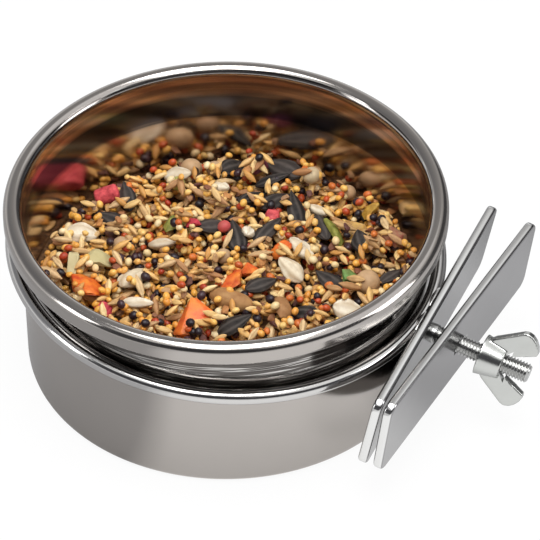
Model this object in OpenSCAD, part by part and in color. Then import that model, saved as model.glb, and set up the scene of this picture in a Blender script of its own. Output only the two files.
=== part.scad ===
// Clamp-on seed cup for a bird cage: a drawn steel cup, the wire ring and flat jaws that hold it,
// and the mix of seeds that it is filled with.
// The origin is the middle of the cup's base, +Z is up and the clamp points along +X.

/* [Cup] */
// Diameter over the rolled rim
rim_d = 110; // [95:1:140]
// Height from the base to the top of the rim
cup_h = 49; // [44:1:80]
// Width by which the rim stands out from the straight wall
rim_out = 4.05; // [3.95:0.05:5]
// Thickness of the steel sheet
sheet_t = 0.6; // [0.4:0.1:0.8]
// Outer radius of the bend between the wall and the base
base_r = 3; // [2:0.5:6]
// Height of the rolled rim from its top to its lowest edge
rim_roll_h = 5.6; // [5:0.1:6.5]
// Radius of the turned-in lower edge of the rim
rim_curl_r = 1.5; // [1.2:0.1:1.8]
// Distance from the wall to the middle of the stiffening ring that is pressed up into the base
base_ring_inset = 11; // [8:0.5:24]
// Width of the stiffening ring
base_ring_w = 4; // [3:0.5:8]
// Height that it is pressed up
base_ring_h = 1; // [0.8:0.1:2]

/* [Holder ring] */
// Diameter of the ring's wire
wire_d = 3.7; // [3:0.1:4]
// Clearance between the ring and the cup's wall
ring_gap = 0.4; // [0.3:0.1:2]
// Height of the ring's middle above the cup's base
ring_h = 33.5; // [28:0.5:35]
// Angle by which the ring hangs lower at the clamp
ring_lean = 4; // [0:0.5:4]

/* [Jaws] */
// Length of each jaw plate
jaw_len = 80; // [60:1:100]
// Width of each jaw plate
jaw_w = 22; // [18:1:26]
// Thickness of each jaw plate
jaw_t = 2.4; // [2:0.1:3]
// Corner radius of each jaw plate
jaw_corner_r = 3; // [1:0.5:6]
// Size of the eased edges of each jaw plate
jaw_edge = 0.4; // [0.2:0.1:0.8]
// Angle of the fixed jaw and the bolt below the ring's plane
jaw_tilt = 6; // [0:0.5:7]
// Height of the ring above the bolt, where the ring is welded to the fixed jaw
bolt_drop = 6; // [4:0.5:8]
// Depth that the ring's wire has sunk into the fixed jaw at the weld
weld_depth = 0.6; // [0.3:0.1:1]
// Gap between the two jaws at the bolt
jaw_gap = 4.9; // [4.8:0.1:12]
// Angle by which the loose jaw swings open at one end
jaw_splay = 5.8; // [0:0.2:5.8]
// Angle by which the loose jaw stands more upright than the fixed jaw
jaw_slack = 3.5; // [0:0.5:3.5]
// Diameter of the hole in the loose jaw
jaw_hole_d = 6.6; // [6.2:0.1:8]

/* [Bolt] */
// Diameter of the bolt
bolt_d = 5; // [4:0.1:5]
// Length of the bolt from the fixed jaw's face to its end
bolt_len = 25.7; // [24:0.5:45]
// Diameter of the bolt's flat head behind the fixed jaw
head_d = 7.2; // [6.5:0.1:8]
// Height of the bolt's head
head_h = 1.2; // [0.8:0.1:1.3]
// Size of the eased edge at the bolt's end
bolt_chamfer = 0.5; // [0.2:0.1:0.8]

/* [Wing nut] */
// Gap between the loose jaw and the nut
nut_gap = 5.4; // [0.5:0.1:5.4]
// Diameter of the nut's hub at its base
hub_d = 10.4; // [9:0.1:12]
// Diameter of the nut's hub at its outer end
hub_end_d = 8.2; // [7.5:0.1:9]
// Height of the nut's hub
hub_h = 6; // [5:0.1:8]
// Width over the two wings
wing_span = 21.5; // [18:0.5:26]
// Height of the nut from its base to the ends of its wings
wing_h = 13.5; // [12:0.5:16]
// Thickness of each wing
wing_t = 2.2; // [1.6:0.1:2.6]
// Turn of the wings from upright
wing_turn = 165; // [0:1:180]
// Clearance between the nut and the bolt
thread_gap = 0.08; // [0.05:0.01:0.1]

/* [Seeds] */
// Depth of the seeds in the cup, at the wall
fill_h = 20.5; // [10:0.5:26]
// Height that the seeds are heaped in the middle
mound_h = 2; // [0:0.5:4]
// Length of a sunflower seed
sunflower_len = 12.5; // [9:0.5:15]
// Width of a sunflower seed
sunflower_w = 6.5; // [5:0.5:8]
// Length of a shelled kernel
kernel_len = 9; // [6:0.5:11]
// Width of a shelled kernel
kernel_w = 5; // [3:0.5:6]
// Length of a piece of dried fruit
fruit_len = 11.5; // [6:0.5:13]
// Length of a pressed pellet
pellet_len = 6.6; // [4:0.2:8]
// Diameter of a pressed pellet
pellet_d = 4.6; // [3:0.2:6]
// Diameter of a pea
pea_d = 6.4; // [4:0.2:7]
// Diameter of a round millet grain
millet_d = 2.2; // [1.6:0.1:2.6]
// Length of a long grain
grain_len = 6; // [4:0.5:7]
// Thickness of a long grain
grain_d = 2; // [1.5:0.1:2.4]

/* [Hidden] */
$fn = 96;
// Overrun of every cut
cut = 1;
// Clearance between the seeds and the wall
seed_gap = 0.3;
// Radii of the cup
rim_r = rim_d / 2;
wall_r = rim_r - rim_out;
bore_r = wall_r - sheet_t;
// The roll is as wide as the rim stands out from the cup's inside
roll_w = rim_r - bore_r;
roll_r = roll_w / 2;
// Radii of the ring
wire_r = wire_d / 2;
ring_r = wall_r + ring_gap + wire_r;
// Where the fixed jaw's outer face crosses the bolt, in the ring's own frame
jaw_x = ring_r + wire_r - weld_depth + (jaw_t - bolt_drop * sin(jaw_tilt)) / cos(jaw_tilt);
// Outer face of the loose jaw and base of the nut, along the bolt from the fixed jaw's outer face
loose_x = jaw_gap + jaw_t;
nut_x = loose_x + nut_gap;
// Clearance between the bolt and the fixed jaw that it is pressed into
press_gap = 0.02;
// Radius of the bed of seeds
bed_r = bore_r - seed_gap;
bed_bend_r = base_r;
// Steps along the curve of the heap
mound_steps = 10;
// Share of a seed's thickness by which its middle stands above the bed
stand_share = 0.25;
// Width, height and top length of a piece of dried fruit, as shares of its length
fruit_width_share = 0.6;
fruit_height_share = 0.35;
fruit_top_share = 0.75;
// Sides of a seed round its length, and rings of corners along it
seed_sides = 14;
seed_rings = 8;

// Outline of a wing from the hub round its end and back, as shares of the nut's height and of half the span
wing_outline_shares = [[0.09, 0.30], [0.09, 0.42], [0.16, 0.56], [0.40, 0.77], [0.62, 0.965], [0.70, 1.0],
    [0.80, 0.97], [0.89, 0.88], [0.96, 0.75], [0.995, 0.62], [0.985, 0.54], [0.80, 0.43], [0.62, 0.32],
    [0.40, 0.30]];

// Places of the big seeds: shares of the bed's radius along X and Y, the turn of each seed, and its
// length as a share of the longest of its kind
sunflower_place_shares = [[-0.211, 0.344, 44, 0.88], [-0.057, 0.218, 123, 0.96],
    [0.108, 0.342, 78, 0.96], [0.205, -0.022, 54, 0.76], [0.467, 0.178, 160, 0.80],
    [-0.044, 0.907, 163, 1.00], [-0.201, 0.571, 67, 0.84], [-0.052, 0.599, 63, 0.92],
    [-0.092, 0.750, 36, 0.80], [0.134, 0.569, 126, 0.96], [-0.719, 0.374, 126, 0.72],
    [-0.738, 0.205, 179, 0.72], [-0.308, 0.824, 61, 0.76], [0.193, -0.341, 40, 0.80],
    [0.327, 0.466, 127, 0.88], [0.538, 0.474, 120, 0.72], [0.463, -0.067, 179, 0.72],
    [0.757, 0.358, 69, 0.80], [-0.160, -0.759, 20, 0.90], [0.440, -0.599, 100, 0.85],
    [-0.519, -0.679, 60, 0.95], [0.759, -0.320, 30, 0.80], [0.080, -0.579, 150, 0.80]];
kernel_place_shares = [[-0.823, 0.034, 7, 0.94], [-0.413, 0.113, 1, 0.94], [-0.430, -0.203, 85, 1.00],
    [-0.319, -0.376, 15, 0.89], [-0.547, 0.597, 6, 0.89], [-0.345, 0.611, 166, 0.94],
    [-0.010, 0.351, 106, 0.67], [0.270, 0.341, 151, 1.00], [0.293, 0.132, 161, 0.94],
    [0.658, 0.015, 15, 0.94], [0.207, 0.705, 179, 0.72], [0.280, -0.759, 70, 0.95],
    [-0.280, -0.579, 120, 0.90], [0.619, -0.519, 10, 0.90]];
fruit_place_shares = [[-0.607, -0.379, 165, 1.00], [-0.029, -0.384, 72, 1.00],
    [-0.630, -0.175, 88, 0.74], [-0.414, 0.238, 15, 0.61], [0.202, 0.244, 48, 0.52],
    [0.099, 0.077, 179, 0.52], [0.056, -0.053, 65, 0.70], [0.383, 0.607, 136, 0.96],
    [0.531, 0.674, 2, 0.74], [0.468, 0.777, 54, 0.52], [0.582, 0.264, 40, 0.52],
    [0.106, -0.207, 3, 1.00], [0.340, -0.138, 125, 0.70], [-0.749, -0.249, 101, 0.70],
    [-0.462, -0.469, 149, 0.43], [0.020, 0.495, 48, 0.43], [-0.308, 0.211, 74, 0.39],
    [-0.689, 0.105, 162, 0.48], [0.599, -0.240, 60, 0.70], [-0.040, -0.899, 5, 0.60]];
pellet_place_shares = [[-0.840, 0.331, 34, 1.00], [0.678, 0.590, 160, 0.83], [-0.180, 0.804, 48, 0.70],
    [0.480, -0.799, 40, 0.90]];
pea_place_shares = [[-0.517, 0.712, 23, 0.91], [-0.404, 0.716, 23, 0.66], [0.677, 0.201, 23, 1.00],
    [0.126, 0.797, 23, 0.73], [-0.501, 0.506, 23, 0.59], [0.618, 0.522, 23, 0.59],
    [0.295, 0.895, 23, 0.66], [-0.187, 0.229, 23, 0.53], [-0.588, -0.004, 23, 0.62],
    [-0.100, 0.084, 23, 0.66], [-0.400, -0.839, 0, 0.70], [0.280, -0.440, 0, 0.80]];
// Every big seed: its place, length and width
big_seeds = concat(
    [for (s = sunflower_place_shares) [s, sunflower_len * s[3], sunflower_w * s[3]]],
    [for (s = kernel_place_shares) [s, kernel_len * s[3], kernel_w * s[3]]],
    [for (s = fruit_place_shares) [s, fruit_len * s[3], fruit_len * fruit_width_share * s[3]]],
    [for (s = pellet_place_shares) [s, pellet_len * s[3], pellet_d * s[3]]],
    [for (s = pea_place_shares) [s, pea_d * s[3], pea_d * s[3]]]);
// How many places are tried for a long grain and for a millet grain
long_places = 150;
millet_places = 480;
// Room that a small grain keeps from its neighbours and from the bed's edge
grain_room = 0.4;
// Turn from one grain to the next, which spreads them evenly, and the turn of each long grain
golden_turn = 137.508;
grain_turn = 47;
// Long grain from its tip to its middle, as shares of its length and thickness
grain_outline_shares = [[0, 0.5], [0.3, 0.38], [0.46, 0.2], [0.5, 0]];

// Height of the seeds at a distance from the middle
function bed_z(r) = fill_h + mound_h * (1 + cos(180 * min(r / bed_r, 1))) / 2;

// Distance from a point on the bed to the edge of a big seed, taken as a bar with round ends
function seed_distance(x, y, seed) =
    let (dx = x - seed[0][0] * bed_r, dy = y - seed[0][1] * bed_r, turn = seed[0][2],
        along = abs(dx * cos(turn) + dy * sin(turn)), across = dy * cos(turn) - dx * sin(turn))
    norm([max(along - (seed[1] - seed[2]) / 2, 0), across]) - seed[2] / 2;

// Has a place on the bed this much room round it?
function is_clear(x, y, room, seeds) = min([for (seed = seeds) seed_distance(x, y, seed)]) > room;

// Long grains that fit between the big seeds: place, length and width of each
long_grains = [for (i = [1:long_places])
    let (r = (bed_r - grain_len / 2 - grain_room) * sqrt(i / long_places), a = i * golden_turn, x = r * cos(a),
        y = r * sin(a), turn = (i * grain_turn) % 180, reach = (grain_len - grain_d) / 2,
        room = grain_room + grain_d / 2)
    if (is_clear(x, y, room, big_seeds)
            && is_clear(x + reach * cos(turn), y + reach * sin(turn), room, big_seeds)
            && is_clear(x - reach * cos(turn), y - reach * sin(turn), room, big_seeds))
        [[x / bed_r, y / bed_r, turn], grain_len, grain_d]];

// Steel strip bent through a part of a circle about the origin, between two angles
module bent_strip(radius, from, to) {
    reach = 2 * radius;
    mid = (from + to) / 2;
    intersection() {
        difference() {
            circle(r = radius);
            circle(r = radius - sheet_t);
        }
        polygon([[0, 0], reach * [cos(from), sin(from)], reach * [cos(mid), sin(mid)],
            reach * [cos(to), sin(to)]]);
    }
}

// Cross-section of the cup from its axis to its rim
module cup_section() {
    ring_in = wall_r - base_ring_inset - base_ring_w / 2;
    ring_out = ring_in + base_ring_w;
    // Middle of the base
    square([ring_in, sheet_t]);
    // Stiffening ring: two steps and the top between them
    translate([ring_in - sheet_t, 0]) square([sheet_t, base_ring_h + sheet_t]);
    translate([ring_in - sheet_t, base_ring_h]) square([base_ring_w + 2 * sheet_t, sheet_t]);
    translate([ring_out, 0]) square([sheet_t, base_ring_h + sheet_t]);
    // Rest of the base
    translate([ring_out, 0]) square([wall_r - base_r - ring_out, sheet_t]);
    // Bend up into the wall
    translate([wall_r - base_r, base_r]) bent_strip(base_r, -90, 0);
    // Wall
    translate([bore_r, base_r]) square([sheet_t, cup_h - base_r - roll_r]);
    // Top of the rolled rim
    translate([bore_r + roll_r, cup_h - roll_r]) {
        bent_strip(roll_r, 0, 90);
        bent_strip(roll_r, 90, 180);
    }
    // Outer face of the rim
    skirt_h = rim_roll_h - roll_r - rim_curl_r;
    translate([rim_r - sheet_t, cup_h - roll_r - skirt_h]) square([sheet_t, skirt_h]);
    // Lower edge, turned in under the rim
    translate([rim_r - rim_curl_r, cup_h - rim_roll_h + rim_curl_r]) {
        bent_strip(rim_curl_r, -90, 0);
        bent_strip(rim_curl_r, -180, -90);
    }
}

// Drawn steel cup with a rolled rim
module cup() {
    color("silver") rotate_extrude() cup_section();
}

// Moves what follows into the ring's own frame
module on_ring() {
    translate([0, 0, ring_h]) rotate([0, ring_lean, 0]) children();
}

// Moves what follows onto the bolt: X runs along it, from the fixed jaw's outer face
module on_bolt() {
    on_ring() translate([jaw_x, 0, -bolt_drop]) rotate([0, jaw_tilt, 0]) children();
}

// Moves what follows onto the loose jaw, which hangs askew on the bolt
module on_loose_jaw() {
    on_bolt() translate([loose_x, 0, 0]) rotate([0, -jaw_slack, -jaw_splay]) children();
}

// Wire ring that goes round the cup
module holder_ring() {
    color("lightgray") on_ring() rotate_extrude() translate([ring_r, 0]) circle(r = wire_r);
}

// Outline of a jaw plate, smaller by an inset all round
module jaw_outline(inset) {
    side_y = jaw_len / 2 - jaw_corner_r;
    side_z = jaw_w / 2 - jaw_corner_r;
    hull() {
        for (y = [-side_y, side_y], z = [-side_z, side_z]) {
            translate([y, z]) circle(r = jaw_corner_r - inset, $fn = 32);
        }
    }
}

// Jaw plate with eased edges: its outer face lies at X = 0 and the bolt's hole runs along X
module jaw_plate(hole_d) {
    difference() {
        translate([-jaw_t, 0, 0]) rotate([90, 0, 90]) hull() {
            linear_extrude(jaw_t) jaw_outline(jaw_edge);
            translate([0, 0, jaw_edge]) linear_extrude(jaw_t - 2 * jaw_edge) jaw_outline(0);
        }
        translate([-jaw_t - cut, 0, 0]) rotate([0, 90, 0]) cylinder(h = jaw_t + 2 * cut, d = hole_d);
    }
}

// Jaw that is welded to the ring
module fixed_jaw() {
    color("lightgray") on_bolt() jaw_plate(bolt_d + 2 * press_gap);
}

// Loose jaw that the wing nut presses towards the fixed one
module moving_jaw() {
    color("lightgray") on_loose_jaw() jaw_plate(jaw_hole_d);
}

// Bolt with a low head behind the fixed jaw
module clamp_bolt() {
    color("gainsboro") on_bolt() rotate([0, 90, 0]) {
        translate([0, 0, -jaw_t - head_h]) cylinder(h = head_h, d = head_d);
        translate([0, 0, -jaw_t]) cylinder(h = jaw_t + bolt_len - bolt_chamfer, d = bolt_d);
        translate([0, 0, bolt_len - bolt_chamfer])
            cylinder(h = bolt_chamfer, d1 = bolt_d, d2 = bolt_d - 2 * bolt_chamfer);
    }
}

// Wing beside the nut's hub, with its face along X and Z
module wing() {
    half = wing_span / 2;
    rotate([90, 0, 0]) translate([0, 0, -wing_t / 2]) linear_extrude(wing_t) {
        polygon([for (s = wing_outline_shares) [s[0] * wing_h, s[1] * half]]);
    }
}

// Wing nut, open at both ends
module wing_nut() {
    color("gainsboro") on_bolt() translate([nut_x, 0, 0]) rotate([wing_turn, 0, 0]) difference() {
        union() {
            rotate([0, 90, 0]) cylinder(h = hub_h, d1 = hub_d, d2 = hub_end_d);
            wing();
            rotate([180, 0, 0]) wing();
        }
        translate([-cut, 0, 0]) rotate([0, 90, 0])
            cylinder(h = wing_h + 2 * cut, d = bolt_d + 2 * thread_gap);
    }
}

// Body of the seed mix, from the cup's floor to its heaped top
module seed_bed() {
    floor_z = base_ring_h + sheet_t;
    color("burlywood") rotate_extrude() polygon(concat(
        [[0, floor_z], [bed_r - bed_bend_r, floor_z], [bed_r, floor_z + bed_bend_r]],
        [for (i = [mound_steps:-1:0]) let (r = bed_r * i / mound_steps) [r, bed_z(r)]]));
}

// Puts what follows on the bed at a place given in shares, turned and half sunk
module on_bed(place, height) {
    x = place[0] * bed_r;
    y = place[1] * bed_r;
    z = bed_z(norm([x, y])) + height * stand_share;
    translate([x, y, z]) rotate([0, 0, place[2]]) children();
}

// Seed pointed at one end: a flattened drop along X
module drop_seed(length, width, height) {
    points = [for (i = [1:seed_rings - 1], k = [0:seed_sides - 1])
        let (t = i / seed_rings, a = 360 * k / seed_sides, swell = sin(180 * pow(t, 0.8)))
        [length * (t - 0.5), width / 2 * swell * cos(a), height / 2 * swell * sin(a)]];
    tips = [[-length / 2, 0, 0], [length / 2, 0, 0]];
    last = len(points);
    sides = [for (i = [0:seed_rings - 3], k = [0:seed_sides - 1])
        let (a = i * seed_sides + k, b = i * seed_sides + (k + 1) % seed_sides)
        each [[a, a + seed_sides, b], [b, a + seed_sides, b + seed_sides]]];
    caps = [for (k = [0:seed_sides - 1]) let (n = (k + 1) % seed_sides, top = (seed_rings - 2) * seed_sides)
        each [[last, k, n], [last + 1, top + n, top + k]]];
    polyhedron(points = concat(points, tips), faces = concat(sides, caps));
}

// Sunflower seeds
module sunflower_seeds() {
    color("dimgray") for (s = sunflower_place_shares) {
        on_bed(s, sunflower_w / 2 * s[3]) scale(s[3]) drop_seed(sunflower_len, sunflower_w, sunflower_w / 2);
    }
}

// Shelled kernels
module pale_kernels() {
    color("ivory") for (s = kernel_place_shares) {
        on_bed(s, kernel_w / 2 * s[3]) scale(s[3]) drop_seed(kernel_len, kernel_w, kernel_w / 2);
    }
}

// Cut pieces of dried fruit
module dried_fruit() {
    width = fruit_len * fruit_width_share;
    height = fruit_len * fruit_height_share;
    color("orange") for (s = fruit_place_shares) {
        on_bed(s, height * s[3]) scale(s[3]) hull() {
            cube([fruit_len, width / 2, height / 2], center = true);
            cube([fruit_len * fruit_top_share, width / 2, height], center = true);
            cube([fruit_len * fruit_top_share, width, height / 2], center = true);
        }
    }
}

// Pressed pellets
module pellets() {
    color("indianred") for (s = pellet_place_shares) {
        on_bed(s, pellet_d * s[3]) rotate([0, 90, 0])
            cylinder(h = pellet_len * s[3], d = pellet_d * s[3], center = true);
    }
}

// Peas and other round seeds
module peas() {
    color("tan") for (s = pea_place_shares) {
        on_bed(s, pea_d * s[3]) sphere(d = pea_d * s[3]);
    }
}

// Long grain, pointed at both ends
module long_grain() {
    half = [for (s = grain_outline_shares) [s[0] * grain_d, s[1] * grain_len]];
    rotate([0, 90, 0]) rotate_extrude()
        polygon(concat(half, [for (i = [len(half) - 2:-1:0]) [half[i][0], -half[i][1]]]));
}

// Millet and long grains, spread over what the big seeds leave free
module small_grains() {
    reach = bed_r - millet_d / 2 - grain_room;
    taken = concat(big_seeds, long_grains);
    color("goldenrod") {
        for (s = long_grains) on_bed(s[0], 0) long_grain();
        for (i = [1:millet_places]) {
            r = reach * sqrt(i / millet_places);
            x = r * cos(i * golden_turn);
            y = r * sin(i * golden_turn);
            if (is_clear(x, y, grain_room + millet_d / 2, taken)) translate([x, y, bed_z(r)]) sphere(d = millet_d);
        }
    }
}

cup();
holder_ring();
fixed_jaw();
clamp_bolt();
moving_jaw();
wing_nut();
seed_bed();
sunflower_seeds();
pale_kernels();
dried_fruit();
pellets();
peas();
small_grains();
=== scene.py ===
"""Looks of the clamp-on seed cup: polished steel, a cast wing nut and the seed mix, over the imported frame."""

import logging
import math
import random
from dataclasses import dataclass, field
from enum import Enum
from functools import partial
from typing import Any, Callable, Iterable, Optional, Sequence, Union

import bmesh
import bpy
import numpy as np
from mathutils import Matrix, Vector

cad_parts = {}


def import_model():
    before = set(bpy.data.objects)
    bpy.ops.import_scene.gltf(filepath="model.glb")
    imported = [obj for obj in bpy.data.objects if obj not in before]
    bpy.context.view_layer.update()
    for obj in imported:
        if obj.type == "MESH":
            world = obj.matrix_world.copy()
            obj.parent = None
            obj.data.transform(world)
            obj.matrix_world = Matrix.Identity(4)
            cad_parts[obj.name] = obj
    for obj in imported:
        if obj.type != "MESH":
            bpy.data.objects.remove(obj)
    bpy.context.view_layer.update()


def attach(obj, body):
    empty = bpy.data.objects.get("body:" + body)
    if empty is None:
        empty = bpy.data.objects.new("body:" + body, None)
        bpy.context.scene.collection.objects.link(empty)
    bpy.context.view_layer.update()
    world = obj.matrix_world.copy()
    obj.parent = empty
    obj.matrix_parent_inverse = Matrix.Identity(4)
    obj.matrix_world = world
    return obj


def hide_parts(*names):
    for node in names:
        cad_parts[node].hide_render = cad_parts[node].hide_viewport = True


LOG = logging.getLogger("seed_cup")
MM = 0.001
Colour = tuple[float, float, float]
Point = tuple[float, float, float]
Span = tuple[float, float]
Line = list[Span]
Faces = list[tuple[int, ...]]
# Places on a ramp, each with a colour or the number of a grey
Stops = Sequence[tuple[float, Union[float, Colour]]]


def screen(colour: Colour) -> Colour:
    """Turn a screen colour, with parts from 0 to 255, into the linear one that shaders use."""
    parts = [part / 255 for part in colour]
    return tuple(part / 12.92 if part <= 0.04045 else ((part + 0.055) / 1.055) ** 2.4 for part in parts)


def math_method(operation: str, reflected: bool = False) -> Callable[["Value", "Operand"], "Value"]:
    """Return a method of Value that adds one Math node.

    Args:
        operation: Blender's name of the operation.
        reflected: Whether the other operand comes first.

    Returns:
        The method.
    """
    def method(self: "Value", other: "Operand") -> "Value":
        """Return the result on this value and another."""
        return self.graph.math(operation, *((other, self) if reflected else (self, other)))
    return method


class Value:
    """A number's socket, whose sums and products become Math nodes."""

    def __init__(self, graph: "Graph", socket: Optional[bpy.types.NodeSocket]) -> None:
        """Keep the socket and the graph that it belongs to."""
        self.graph, self.socket = graph, socket

    __add__, __radd__ = math_method("ADD"), math_method("ADD", True)
    __sub__, __rsub__ = math_method("SUBTRACT"), math_method("SUBTRACT", True)
    __mul__, __rmul__ = math_method("MULTIPLY"), math_method("MULTIPLY", True)
    __pow__ = math_method("POWER")

    def between(self, low: float, high: float) -> "Value":
        """Map this value from 0..1 to another range."""
        return self * (high - low) + low


Operand = Union[Value, float, int]


class Graph:
    """The shader nodes of one material or of the world."""

    def __init__(self, tree: bpy.types.NodeTree) -> None:
        """Take over a node tree and empty it."""
        self.tree = tree
        tree.nodes.clear()

    def add(self, kind: str, settings: Optional[dict[str, Any]] = None,
            sockets: Optional[dict[Union[int, str], Any]] = None, output: Union[int, str] = 0) -> Value:
        """Add a node of any kind.

        Args:
            kind: Blender's name of the node type, without "ShaderNode".
            settings: Properties set before the sockets; "stops" fills a colour ramp.
            sockets: Values or links of the input sockets, by index or name.
            output: Output socket that is returned.

        Returns:
            The chosen output.
        """
        node = self.tree.nodes.new("ShaderNode" + kind)
        for name, value in (settings or {}).items():
            if name == "stops":
                self._fill_ramp(node.color_ramp, value)
            else:
                setattr(node, name, value)
        for name, value in (sockets or {}).items():
            if isinstance(value, Value):
                self.tree.links.new(value.socket, node.inputs[name])
            elif isinstance(value, tuple) and node.inputs[name].type == "RGBA":
                node.inputs[name].default_value = (*value, 1.0)
            else:
                node.inputs[name].default_value = value
        return Value(self, node.outputs[output] if len(node.outputs) else None)

    @staticmethod
    def _fill_ramp(ramp: bpy.types.ColorRamp, stops: Stops) -> None:
        """Give a colour ramp its stops."""
        while len(ramp.elements) > 1:
            ramp.elements.remove(ramp.elements[-1])
        for index, (place, tone) in enumerate(stops):
            element = ramp.elements.new(place) if index else ramp.elements[0]
            element.position = place
            element.color = (*(tone if isinstance(tone, tuple) else (tone,) * 3), 1.0)

    def math(self, operation: str, *operands: Operand) -> Value:
        """Return the result of one Math node."""
        return self.add("Math", {"operation": operation}, dict(enumerate(operands)))

    def noise(self, place: Value, scale: float, detail: float = 3.0, rough: float = 0.5) -> Value:
        """Return soft noise, 0 to 1, at a place."""
        sockets = {"Vector": place, "Scale": scale, "Detail": detail, "Roughness": rough}
        return self.add("TexNoise", {}, sockets, "Fac")

    def ramp(self, value: Value, stops: Stops) -> Value:
        """Return the colour of a ramp at a value."""
        return self.add("ValToRGB", {"stops": stops}, {"Fac": value}, "Color")

    def mix(self, share: Operand, first: Any, second: Any) -> Value:
        """Mix two colours or links by the share of the second."""
        return self.add("Mix", {"data_type": "RGBA"}, {0: share, 6: first, 7: second}, 2)

    def step(self, value: Value, low: float, high: float, first: float = 0.0, last: float = 1.0) -> Value:
        """Map a value with a smooth step.

        Args:
            value: What is mapped.
            low: Value up to which the result is the first number.
            high: Value from which it is the last one.
            first: The first number.
            last: The last number.

        Returns:
            The result.
        """
        return self.add("MapRange", {"interpolation_type": "SMOOTHSTEP"}, {
            "Value": value, "From Min": low, "From Max": high, "To Min": first, "To Max": last})

    def bump(self, height: Value, strength: float, distance: float) -> Value:
        """Return a normal that a height bends, with the distance in millimetres."""
        return self.add("Bump", {}, {"Height": height, "Strength": strength, "Distance": distance * MM})

    def place(self, kind: str = "Object") -> Value:
        """Return texture coordinates of a kind."""
        return self.add("TexCoord", output=kind)

    def split(self, place: Value) -> tuple[Value, ...]:
        """Return the three parts of a place."""
        return tuple(Value(self, part) for part in self.add("SeparateXYZ", sockets={0: place}).socket.node.outputs)

    def polar(self, x: Value, y: Value) -> tuple[Value, Value]:
        """Return the turn round the middle, in radians, and the distance from it."""
        return self.math("ARCTAN2", y, x), (x * x + y * y) ** 0.5

    def rays(self) -> tuple[Value, Value]:
        """Return 1 for camera rays, and 1 for all rays that show the background: also those off metal or glass."""
        outputs = self.add("LightPath").socket.node.outputs
        camera, glossy, through = (Value(self, outputs[f"Is {kind} Ray"])
                                   for kind in ("Camera", "Glossy", "Transmission"))
        return camera, self.math("MAXIMUM", self.math("MAXIMUM", camera, glossy), through)

    def finish(self, shader: Value, kind: str = "Material") -> None:
        """Lead a shader to the output."""
        self.add("Output" + kind, sockets={"Surface": shader})


class Grain(Enum):
    """Way that the marks of polishing run over a piece of steel."""

    ROUND = "round"
    ALONG = "along"
    NONE = "none"


def new_material(name: str) -> tuple[bpy.types.Material, Graph]:
    """Make an empty material and its graph."""
    material = bpy.data.materials.new(name)
    material.use_nodes = True
    return material, Graph(material.node_tree)


@dataclass(frozen=True)
class WallFilm:
    """Painted light on the cup's wall: painted shade and painted reflections of the seeds inside, painted shade with
    streaks of painted reflection between the rim and the ring.
    """

    # Painted shade and painted reflections of the seeds on the inner wall
    inside: Stops
    # Painted shade and streaks of painted reflection on the outer wall between the rim and the ring
    crevice: Stops
    bore_r: float
    wall_r: float
    top: float
    ring_level: float
    ring_lean: float

    STREAK_TURN, STREAK_HEIGHT, STREAK_ROUGH = 0.9, 700, 0.6
    # How far the edges of the tones drift, and how far each side of the sheet reaches
    DRIFT, INNER_REACH, OUTER_REACH = 0.08, 0.25, 0.15

    def over(self, graph: Graph, place: Value, tone: Value) -> Value:
        """Return the steel's tone with the painted shade and painted reflections on it.

        Args:
            graph: The steel's graph.
            place: Place on the cup.
            tone: Tone of the bare steel.

        Returns:
            The tone.
        """
        x, y, z = graph.split(place)
        turn, reach = graph.polar(x, y)
        lines = graph.add("CombineXYZ", {}, {0: turn * self.STREAK_TURN, 1: z * self.STREAK_HEIGHT})
        drift = graph.noise(lines, 1.0, rough=self.STREAK_ROUGH)
        inner = graph.math("LESS_THAN", reach, (self.bore_r + self.INNER_REACH) * MM)
        outer = (graph.math("LESS_THAN", (self.wall_r - self.OUTER_REACH) * MM, reach)
                 * graph.math("LESS_THAN", reach, (self.wall_r + self.OUTER_REACH) * MM))
        over_ring = graph.math("LESS_THAN", self.ring_level * MM, z + x * math.tan(math.radians(self.ring_lean)))
        level = z * (1 / (self.top * MM)) + (drift - 0.5) * self.DRIFT
        # Painted shade and painted reflections of the seeds on the inner wall, by height
        tone = graph.mix(inner, tone, graph.ramp(level, self.inside))
        # Painted shade and streaks of painted reflection on the outer wall above the ring
        return graph.mix(outer * over_ring, tone, graph.ramp(drift, self.crevice))


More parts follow.
